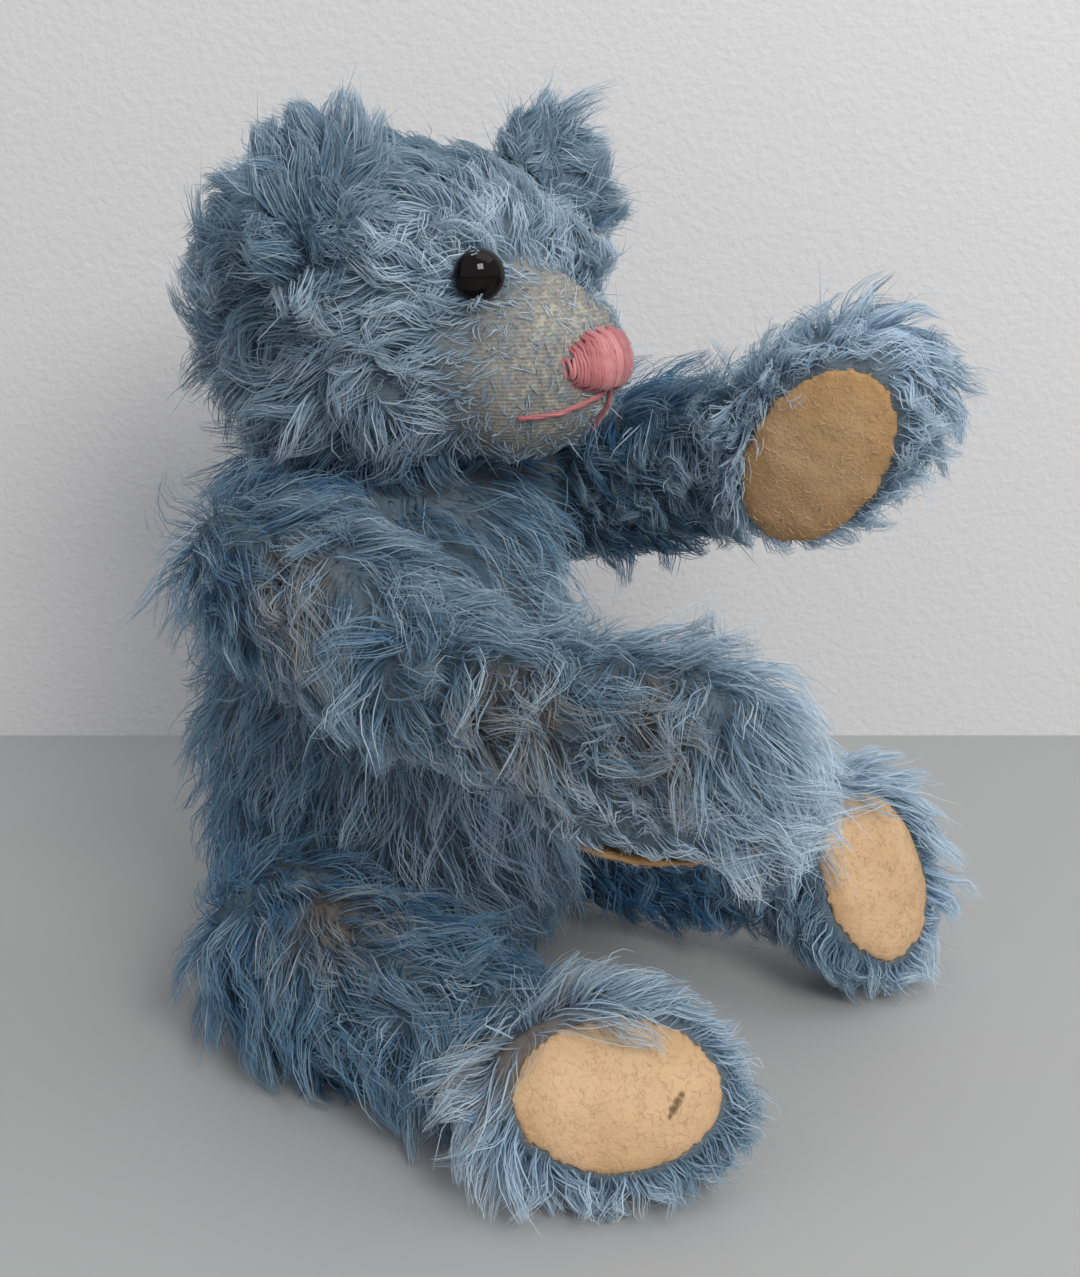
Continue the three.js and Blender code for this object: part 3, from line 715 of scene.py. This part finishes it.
def swept(name, body, lines, radii, tilts, tones, material, **form):
    """Lines swept to flat strands or round plies, as form says, on a body.

    Each point carries its line's tone and how far along the line it is.
    """
    count, points = lines.shape[:2]
    curve = bpy.data.curves.new(name, "CURVE")
    curve.dimensions = "3D"
    for key, value in form.items():
        setattr(curve, key, value)
    for line, radius, tilt in zip(lines, radii, tilts):
        spline = curve.splines.new("POLY")
        spline.points.add(points - 1)
        spline.points.foreach_set("co", np.column_stack((line, np.ones(points))).ravel())
        spline.points.foreach_set("radius", radius)
        spline.points.foreach_set("tilt", np.full(points, tilt))
    holder = bpy.data.objects.new(name, curve)
    mesh = bpy.data.meshes.new_from_object(holder)
    bpy.data.objects.remove(holder)
    bpy.data.curves.remove(curve)
    mesh.name = name
    around = len(mesh.vertices) // (count * points)
    tone = np.repeat(tones, points * around)
    along = np.tile(np.repeat(np.linspace(0, 1, points), around), count)
    set_point_values(mesh, tone=tone, along=along)
    return finished_object(name, mesh, body, material)


def finish_strands(name, body, lines, width, tones, material, tip):
    """Flat strands that taper to tip, a share of their width at the root."""
    count, points = lines.shape[:2]
    steps = np.linspace(0, 1, points)
    taper = (1 - (1 - tip) * steps**1.6) * np.where(steps == 0, 0.8, 1.0)
    tilts = np.random.default_rng(count).uniform(-1.3, 1.3, count)
    strands = swept(name, body, lines, taper * width[:, None], tilts, tones, material, extrude=0.5)
    palette_map(strands.data)
    return strands


def palette_map(mesh):
    """A map on which a strand's place is its tone and how far along it a point is."""
    layer = mesh.uv_layers[0]
    layer.name = "OFBake"
    corners = np.zeros(len(mesh.loops), dtype=int)
    mesh.loops.foreach_get("vertex_index", corners)
    tone, along = (point_values(mesh, name)[corners] for name in ("tone", "along"))
    places = np.zeros(len(mesh.loops) * 2)
    layer.data.foreach_get("uv", places)
    edge = places.reshape(-1, 2)[:, 1] - 0.5
    spots = np.column_stack((tone * 0.98 + 0.01 + edge * 0.006, along * 0.98 + 0.01))
    layer.data.foreach_set("uv", spots.ravel())


def pile_material(name, wash):
    """Pile whose blue is washed out towards grey by a share of wash."""
    shader = Shader(name, 0.52)
    tone, along = shader.attribute("tone"), shader.attribute("along")
    names = ("deep", "teal", "middle", "light", "worn")
    stops = (0.0, 0.28, 0.58, 0.84, 1.0)
    tips = [greyed(tuple(getattr(colours(), name)), wash) for name in names]
    # Painted shade: each strand darkens and turns bluer towards its root, standing for the shade deep in
    # the pile.
    roots = [(0.52 * red, 0.62 * green, 0.72 * blue) for red, green, blue in tips]
    dark = shader.stops(tone, stops, roots)
    bright = shader.stops(tone, stops, tips)
    tint = shader.mix(along.ramp(-0.1, 0.75), dark, bright)
    shader.set("Base Color", tint)
    shader.set("Specular IOR Level", 0.35)
    shader.let_light_through(tint, 0.42)
    return shader.material


def greyed(tint, share):
    grey = sum(tint) / 3
    return tuple(part * (1 - share) + grey * share for part in tint)


def scaled(tint, share):
    """A tint made darker or lighter."""
    return tuple(min(1.0, share * part) for part in tint)


def backing_material():
    shader = Shader("backing cloth", 0.9)
    place = shader.place()
    x, y, z = shader.axes(place)
    bare = shader.attribute("bare")
    grain = shader.grain(place, 900.0, 3.0, 0.6)
    patch = shader.grain(place, 90.0, 3.0, 0.6)
    pitch = 2 * math.pi / 0.0010
    drift = patch * 1.5
    rows = (z * pitch + drift).sine()
    columns = (x * pitch + y * pitch * 0.6 + drift).sine()
    weave = rows * 0.6 + columns * 0.4
    under = shader.mix(grain, scaled(colours().backing, 0.5), colours().backing)
    under = shader.mix(shader.attribute("rubbed"), under, scaled(colours().worn, 0.38))
    fleck = shader.grain(place, 480.0, 4.0, 0.75)
    shade = (weave * 0.10 + grain).ramp(0.2, 0.8)
    face = shader.mix(shade, scaled(colours().muzzle, 0.55), colours().muzzle)
    yellow = (patch * 0.5 + weave * 0.05 + fleck * 1.1).ramp(0.80, 1.02)
    face = shader.mix(yellow * 0.75, face, colours().thread)
    shader.set("Base Color", shader.mix(bare, under, face))
    shader.bump(weave * 0.25 + grain, 0.6, 0.0004)
    return shader.material


def felt_material():
    shader = Shader("wool felt", 0.95)
    place = shader.place()
    cloud = shader.grain(place, 120.0, 4.0, 0.6)
    fleck = shader.grain(place, 900.0, 3.0, 0.7)
    soil = (cloud * 0.8 + fleck * 0.35).ramp(0.62, 0.86)
    # Soil darkens the felt, and on the paws the point attribute also holds painted shade.
    tone = shader.mix((soil * 0.5).most(shader.attribute("soiled")), colours().felt, colours().felt_dark)
    # The slit's four marks are painted shade inside the cut.
    for centre, radius in FELT_MARKS:
        mark = 1 - (shader.distance(place, centre) + fleck * 0.0012).ramp(radius * 0.5, radius)
        tone = shader.mix(mark * 0.9, tone, scaled(colours().felt_dark, 0.30))
    shader.set("Base Color", tone)
    shader.bump(fleck + cloud * 0.6, 0.8, 0.0005)
    return shader.material


def fibre_material():
    shader = Shader("felt fibre", 0.9)
    tone = shader.attribute("tone")
    light = scaled(colours().felt, 1.12)
    shader.set("Base Color", shader.mix(tone, scaled(colours().felt, 0.75), light))
    return shader.material


def stitch_material():
    shader = Shader("pink thread", 0.45)
    tone, along = shader.attribute("tone"), shader.attribute("along")
    rub = (tone * 0.7 + (along * math.pi).sine() * 0.3).ramp(0.2, 0.95)
    shader.set("Base Color", shader.mix(rub, colours().stitch, colours().stitch_light))
    shader.set("Sheen Weight", 0.3)
    return shader.material


def plain_material(name, base, roughness, metallic=0.0, coat=0.0):
    shader = Shader(name, roughness, metallic)
    grain = shader.grain(shader.place(), 400.0, 4.0, 0.6)
    shader.set("Base Color", shader.mix(grain, scaled(base, 0.7), tuple(base)))
    shader.set("Coat Weight", coat)
    return shader.material


# Centre and radius of each dark mark on the felt: painted shade in a slit in the right sole, specks on
# the left paw
FELT_MARKS = (
    ((-0.0534, -0.1262, 0.0302), 0.0018),
    ((-0.0546, -0.1259, 0.0288), 0.0023),
    ((-0.0559, -0.1256, 0.0274), 0.0023),
    ((-0.0570, -0.1253, 0.0261), 0.0018),
    ((0.0261, -0.1217, 0.1595), 0.0011),
    ((0.0205, -0.1120, 0.1700), 0.0009),
    ((0.0235, -0.1260, 0.1680), 0.0009),
)

# Body, combing, points a strand, lift and rest angles, droop, wander, tightness of the locks, curl
COATS = {
    "torso": ("torso", comb_torso, 6, 44, 2, 0.30, 1.10, 0.80, 0.0026),
    "head": ("head", comb_head, 5, 52, -18, 0.06, 1.30, 0.74, 0.0018),
    "ear_left": ("head", comb_ear(1), 4, 38, -4, 0.10, 0.80, 0.72, 0.0016),
    "ear_right": ("head", comb_ear(-1), 4, 38, -4, 0.10, 0.80, 0.72, 0.0016),
    "arm_left": ("arm_left", comb_limb("arm_left", 0.20), 6, 42, 4, 0.16, 0.90, 0.80, 0.0026),
    "arm_right": ("arm_right", comb_limb("arm_right", 0.50), 6, 42, 4, 0.18, 0.90, 0.80, 0.0028),
    "leg_left": ("leg_left", comb_limb("leg_left", 0.35), 6, 40, 4, 0.26, 0.90, 0.80, 0.0026),
    "leg_right": ("leg_right", comb_limb("leg_right", 0.35), 6, 40, 4, 0.26, 0.90, 0.80, 0.0026),
}


def strand_count(node):
    if node.startswith("ear"):
        return sizes().ear_strands
    return getattr(sizes(), f"{node.split('_')[0]}_strands")


def pile_of(coat):
    """The length of the pile at each root."""
    node, places, normals = coat.node, coat.roots, coat.normals
    if node == "head":
        short = 1 - 0.84 * muzzle_nearness(places) - 0.25 * eye_nearness(places)
        back = 0.55 * eased(places[:, 1], -0.020, 0.030)
        nape = (1 - eased(places[:, 2], 0.165, 0.195)) * eased(places[:, 1], -0.035, 0.005)
        longer = (sizes().pile_nape - sizes().pile_head) * np.maximum(back, nape)
        return sizes().pile_head * np.clip(short, 0.12, 1) + longer
    if node == "ear_left":
        return sizes().pile_head * (0.50 + 0.75 * eased(places[:, 0], 0.040, 0.052))
    if node == "ear_right":
        return sizes().pile_head * (0.70 + 0.60 * eased(-places[:, 1], 0.008, 0.022))
    pad = PADS.get(node)
    if pad is None:
        return sizes().pile_body * (1 + 0.12 * eased(places[:, 1], 0.015, 0.045))
    near = 1 - eased(-pad.height(places), 0.010, 0.035)
    if node.startswith("leg"):
        offset = places - pad.centre
        inward = eased(-offset[:, 0] * np.sign(pad.centre[0]), 0.0, 0.022)
        low = eased(-offset[:, 2], 0.002, 0.020)
        sole = sizes().pile_foot * (1 - 0.50 * np.maximum(inward, low))
        shank = sizes().pile_body * (0.55 if node == "leg_left" else 1.0)
        return shank * (1 - near) + sole * near
    under = 1 - eased(normals[:, 2], -0.6, 0.2)
    tip = eased(-places[:, 1], 0.112, 0.130) if node == "arm_right" else 0
    whole = sizes().pile_body * (1 - 0.55 * under * (1 - tip)) * (1 + 0.15 * tip)
    near = near * (1 - 0.7 * tip)
    paw = sizes().pile_paw * (0.5 if node == "arm_right" else 1.0)
    return whole * (1 - near) + paw * near


def tones_of(coat, lock):
    """Each strand's place on the pile's range of colours."""
    random = coat.random
    roots = coat.roots
    slow = swirl(roots, coat.seed + 90, 1.0, 0.045)
    lock_tone = random.normal(0, 0.07, lock.max() + 1)[lock]
    own = random.normal(0, 0.13, len(roots))
    if coat.node == "head":
        own *= 0.65
    tone = 0.47 + 0.22 * slow + lock_tone + own
    # Painted light: the front of the chest is made lighter to lift the shade that the head casts on it.
    if coat.node == "torso":
        tone += 0.16 * eased(roots[:, 2], 0.080, 0.105) * eased(-roots[:, 1], 0.010, 0.030)
    # Painted light: the left foot's pile is made lighter towards its sole, to lift the shade it lies in.
    if coat.node == "leg_left":
        tone += 0.14 * eased(PADS["leg_left"].height(roots), -0.045, -0.012)
    if coat.node == "arm_right":
        tone -= 0.12 * (1 - eased(-roots[:, 1], 0.07, 0.11))
    tone += 0.22 * (1 - eased(np.abs(roots[:, 0]), 0.03, 0.045)) * eased(-roots[:, 1], 0.01, 0.04)
    if coat.node in PADS:
        tone += 0.32 * eased(PADS[coat.node].height(roots), -0.045, -0.012)
    # Painted shade: the pile is darkened towards deep blue in the folds.
    tone -= 0.36 * painted_fold_shade(roots)
    fair = random.random(len(roots)) > 0.90
    tone[fair] += 0.12 if coat.node == "head" else 0.24
    tone = np.clip(tone, 0.02, 0.84)
    worn = rubbed(coat.node, roots) * (random.random(len(roots)) < 0.50)
    return np.where(worn > 0.3, 0.92 + 0.08 * random.random(len(roots)), tone)


def painted_fold_shade(places):
    """Painted shade: 1 in the folds below the chin and at the roots of the limbs, where the pile is
    darkened towards deep blue.
    """
    neck = 1 - eased(np.abs(places[:, 2] - 0.146), 0.008, 0.022)
    neck *= 1 - eased(np.hypot(places[:, 0], places[:, 1]), 0.036, 0.052)
    lap = (1 - eased(places[:, 2], 0.02, 0.07)) * (1 - eased(np.abs(places[:, 0]), 0.045, 0.075))
    armpit = (1 - eased(np.linalg.norm(places - ARM_ROOT, axis=1), 0.020, 0.045)) * 0.8
    return np.maximum(np.maximum(neck, armpit), 0.8 * lap)


def ray_point(tree, x, z, proud):
    """The point met looking straight back from in front at (x, z), or None."""
    hit, normal, _, _ = tree.ray_cast(Vector((x, -0.4, z)), Vector((0, 1, 0)))
    if hit is None:
        return None
    return np.array(hit + normal * proud)


def tree_of(node):
    form = bmesh.new()
    form.from_mesh(frame["nodes"][node].data)
    tree = BVHTree.FromBMesh(form)
    form.free()
    return tree


def stitches(name, threads, radius, tones, material):
    """Round plies on the head, along threads of equal numbers of points."""
    lines = np.array(threads)
    radii = np.full(lines.shape[:2], radius)
    level = np.zeros(len(lines))
    return swept(name, "head", lines, radii, level, tones, material, bevel_depth=1.0, bevel_resolution=1)


class BuildStage(bpy.types.Operator):
    """Makes the camera, the light, the table and the wall"""

    bl_idname = "bear.build_stage"
    bl_label = "Stage"

    def execute(self, context):
        right = Vector((math.cos(VIEW_AZIMUTH), math.sin(VIEW_AZIMUTH), 0))
        forward = Vector((-math.sin(VIEW_AZIMUTH), math.cos(VIEW_AZIMUTH), 0))
        back = UP_VECTOR * math.sin(VIEW_PITCH) - forward * math.cos(VIEW_PITCH)
        camera = linked("camera", bpy.data.cameras.new("camera"))
        turn = Matrix((right, back.cross(right), back)).transposed().to_4x4()
        camera.matrix_world = Matrix.Translation(CAMERA_PLACE) @ turn
        camera.data.lens = 53.59
        camera.data.sensor_width = 36
        camera.data.clip_start = 0.02
        context.scene.camera = camera
        context.scene.view_settings.view_transform = "Standard"
        floor = self.plane("floor", 6.0, Matrix.Identity(4), self.table_material())
        base = camera.matrix_world.translation.copy()
        base.z = 0
        base += forward * CAMERA_TO_WALL
        stand = Matrix.Translation(base) @ Matrix((right, UP_VECTOR, -forward)).transposed().to_4x4()
        wall = self.plane("wall", 6.0, stand, self.wall_material())
        window = right * 0.42 - forward * 0.92 + UP_VECTOR * 0.80
        self.lamp("window", window, 0.40, 9.5, (1.0, 0.985, 0.96))
        self.lamp("sky", right * 0.45 + UP_VECTOR * 1.05, 0.9, 4.0, (0.93, 0.96, 1.0))
        world = bpy.data.worlds.new("soft room")
        world.use_nodes = True
        world.node_tree.nodes["Background"].inputs["Color"].default_value = (0.93, 0.95, 1.0, 1.0)
        world.node_tree.nodes["Background"].inputs["Strength"].default_value = 0.74
        context.scene.world = world
        return {"FINISHED"}

    def plane(self, name, size, stand, material):
        form = bmesh.new()
        bmesh.ops.create_grid(form, x_segments=1, y_segments=1, size=size / 2, matrix=stand)
        mesh = bpy.data.meshes.new(name)
        form.to_mesh(mesh)
        form.free()
        mesh.materials.append(material)
        return linked(name, mesh)

    def lamp(self, name, place, size, energy, tint):
        data = bpy.data.lights.new(name, "AREA")
        data.size = size
        data.energy = energy
        data.color = tint
        made = linked(name, data)
        made.location = place
        made.rotation_mode = "QUATERNION"
        made.rotation_quaternion = (Vector((0, 0, 0.1)) - Vector(place)).to_track_quat("-Z", "Y")

    def table_material(self):
        shader = Shader("table", 0.55)
        shader.set("Base Color", tuple(colours().table))
        return shader.material

    def wall_material(self):
        shader = Shader("plaster", 0.8)
        shader.set("Base Color", tuple(colours().wall))
        place = shader.place()
        lumps = shader.grain(place, 380.0, 3.0, 0.55)
        shader.bump(lumps, 0.30, 0.0016)
        return shader.material


class BuildCloth(bpy.types.Operator):
    """Makes the backing cloth and the pile of the stuffed pieces"""

    bl_idname = "bear.build_cloth"
    bl_label = "Cloth and pile"

    def execute(self, context):
        backing = backing_material()
        body_pile = pile_material("mohair pile", 0.05)
        faded_pile = pile_material("faded mohair pile", 0.20)
        for seed, node in enumerate(FURRED, start=1):
            body, comb, points, *habit = COATS[node]
            cloth = make_backing(node, f"{node}_cloth", body, backing)
            coat = Coat(cloth, node, strand_count(node), seed)
            lines, lock = grow(coat, comb, points, *habit)
            width = sizes().strand_width * coat.random.uniform(0.65, 1.2, len(lines))
            pile = faded_pile if body in ("head", "arm_right") else body_pile
            tones = tones_of(coat, lock)
            fur = finish_strands(f"{node}_pile", body, lines, width, tones, pile, STRAND_TIP)
        return {"FINISHED"}


class BuildFelt(bpy.types.Operator):
    """Makes the felt pads and their loose fibres"""

    bl_idname = "bear.build_felt"
    bl_label = "Felt pads"

    def execute(self, context):
        felt, fibre = felt_material(), fibre_material()
        for seed, (limb, node) in enumerate(LIMBS.items(), start=50):
            mesh = even_copy(node, FELT_VOXEL, 1)
            places, normals = vertex_arrays(mesh)
            lumps = swirl(places, seed, 0.0005, 0.006)
            if limb == "arm_right":
                places += PADS[limb].normal * PAW_FELT_SHIFT
            mesh.vertices.foreach_set("co", (places + normals * lumps[:, None]).ravel())
            rim = eased(PADS[limb].spread(places), 0.55, 1.0)
            # Painted shade: the paw pads are darkened all over, as they face down into shade; the soles
            # get only a little even soil.
            even = 0.60 if node.startswith("paw") else 0.08
            soiled = even + 0.22 * rim + swirl(places, seed + 7, 0.35, 0.014)
            set_point_values(mesh, soiled=np.clip(soiled, 0, 1))
            sheet = finished_object(f"{node}_felt", mesh, limb, felt)
            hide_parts(node)
            fibres = self.fibres(sheet, node, limb, fibre, seed)
        return {"FINISHED"}

    def fibres(self, sheet, node, limb, material, seed):
        coat = Coat(sheet, node, FIBRES_A_PAD, seed)
        random = coat.random
        flow = across(random.normal(0, 1, coat.roots.shape), coat.normals)
        reach = sizes().fibre_length * random.uniform(0.4, 1.1, len(flow))
        steps = np.linspace(0, 1, 3)[None, :, None]
        rise = np.sin(steps * math.pi * 0.8) * 0.22 + 0.03
        course = flow[:, None] * steps + coat.normals[:, None] * rise
        lines = coat.roots[:, None] + reach[:, None, None] * course
        lines[:, :, 2] = np.maximum(lines[:, :, 2], FLOOR_CLEARANCE)
        width = np.full(len(lines), FIBRE_WIDTH)
        tones = random.random(len(lines))
        return finish_strands(f"{node}_fibres", limb, lines, width, tones, material, FIBRE_TIP)


class BuildFace(bpy.types.Operator):
    """Makes the glass eyes and the stitched nose and mouth"""

    bl_idname = "bear.build_face"
    bl_label = "Face"

    def execute(self, context):
        head = tree_of("head")
        self.eyes(head)
        thread = stitch_material()
        nose = self.nose(tree_of("nose_stitching"), head, thread)
        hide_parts("nose_stitching")
        self.nose_bed(thread)
        mouth = self.mouth(head, thread)
        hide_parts("mouth_stitching")
        return {"FINISHED"}

    def eyes(self, head):
        shader = Shader("eye glass", 0.03)
        shader.set("Base Color", tuple(colours().eye))
        shader.set("Specular IOR Level", 0.18)
        for name, x, proud in (("left", 0.0252, -0.0006), ("right", -0.0230, 0.0016)):
            centre = ray_point(head, x, EYE_HEIGHT, proud)
            outward = Vector(centre) - Vector((0, -0.005, EYE_HEIGHT))
            half = sizes().eye_diameter / 2
            turn = outward.to_track_quat("Z", "Y").to_matrix().to_4x4()
            form = bmesh.new()
            stretch = Matrix.Diagonal((half, half, half * 0.78, 1))
            stand = Matrix.Translation(centre) @ turn @ stretch
            bmesh.ops.create_uvsphere(form, u_segments=48, v_segments=32, radius=1.0, matrix=stand)
            mesh = bpy.data.meshes.new(f"eye_{name}_glass")
            form.to_mesh(mesh)
            form.free()
            eye = finished_object(mesh.name, mesh, "head", shader.material)
            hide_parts(f"eye_{name}")

    def nose(self, pad, head, material):
        random = np.random.default_rng(7)
        heights = np.arange(0.170, 0.200, 0.0004)
        threads, tones = [], []
        for x in np.linspace(-0.0119, 0.0119, 14):
            found = [z for z in heights if ray_point(pad, x, z, 0) is not None]
            if len(found) < 4:
                continue
            low, high = found[0] - 0.0006, found[-1] + 0.0006
            low, high = low + random.normal(0, 0.0004), high + random.normal(0, 0.0004)
            tone = random.random()
            for ply in (-1, 0, 1):
                lean = random.normal(0, 0.0003)
                line = []
                for share in np.linspace(0, 1, 13):
                    z = low + (high - low) * share
                    at = x + ply * 0.00062 + lean * (share - 0.5)
                    line.append(self.over(pad, head, at, z, 0.0003 * math.sin(math.pi * share)))
                threads.append(line)
                tones.append(0.6 * tone + 0.4 * random.random())
        return stitches("nose_stitches", threads, sizes().nose_ply, tones, material)

    def nose_bed(self, material):
        """The first layer of stitches, below the ones that show."""
        mesh = even_copy("nose_stitching", NOSE_VOXEL, 1)
        places, normals = vertex_arrays(mesh)
        mesh.vertices.foreach_set("co", (places - normals * 0.0003).ravel())
        set_point_values(mesh, tone=np.zeros(len(places)), along=np.zeros(len(places)))
        finished_object("nose_bed", mesh, "head", material)

    def over(self, pad, head, x, z, proud):
        place = ray_point(pad, x, z, proud)
        if place is None:
            place = ray_point(head, x, z, -0.0004)
        return place

    def mouth(self, head, material):
        random = np.random.default_rng(9)
        runs = [((-0.0008, 0.1770), (-0.0190, 0.1711), 0.0012), ((0.0008, 0.1770), (0.0040, 0.1655), 0.0)]
        threads, tones = [], []
        for start, end, sag in runs:
            for ply in range(3):
                turn = ply * 2 * math.pi / 3
                line = []
                for share in np.linspace(0, 1, 15):
                    x = start[0] + (end[0] - start[0]) * share
                    z = start[1] + (end[1] - start[1]) * share - sag * math.sin(math.pi * share)
                    twist = turn + share * 9
                    wound = np.array((0, -math.cos(twist), math.sin(twist))) * 0.0003
                    line.append(ray_point(head, x, z, 0.0004) + wound)
                threads.append(line)
                tones.append(0.05 + 0.35 * random.random())
        return stitches("mouth_stitches", threads, sizes().mouth_ply, tones, material)


class BuildHardware(bpy.types.Operator):
    """Gives the hidden joint discs, washers and pins their materials"""

    bl_idname = "bear.build_hardware"
    bl_label = "Joint hardware"

    def execute(self, context):
        board = plain_material("hardboard", colours().board, 0.8)
        steel = plain_material("steel", colours().steel, 0.4, 0.9)
        for name, node in frame["nodes"].items():
            if "_disc_" in name:
                node.material_slots[0].material = board
            elif "_washer_" in name or "_pin" in name:
                node.material_slots[0].material = steel
        return {"FINISHED"}


class BearPanel(bpy.types.Panel):
    """Sizes, colours and steps of the bear"""

    bl_idname = "VIEW3D_PT_bear"
    bl_label = "Worn mohair bear"
    bl_space_type = "VIEW_3D"
    bl_region_type = "UI"
    bl_category = "Bear"

    def draw(self, context):
        for group in (context.scene.bear_sizes, context.scene.bear_colours):
            box = self.layout.box()
            for name in group.__annotations__:
                box.prop(group, name)
        for step in STEPS:
            self.layout.operator(step.bl_idname)


STEPS = (BuildStage, BuildCloth, BuildFelt, BuildFace, BuildHardware)
CLASSES = (BearSizes, BearColours, *STEPS, BearPanel)


def register():
    for kind in CLASSES:
        bpy.utils.register_class(kind)
    bpy.types.Scene.bear_sizes = PointerProperty(type=BearSizes)
    bpy.types.Scene.bear_colours = PointerProperty(type=BearColours)


def unregister():
    del bpy.types.Scene.bear_colours
    del bpy.types.Scene.bear_sizes
    for kind in reversed(CLASSES):
        bpy.utils.unregister_class(kind)


def main():
    register()
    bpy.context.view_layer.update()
    bpy.ops.bear.build_stage()
    bpy.ops.bear.build_cloth()
    bpy.ops.bear.build_felt()
    bpy.ops.bear.build_face()
    bpy.ops.bear.build_hardware()


if __name__ == "__main__":
    main()
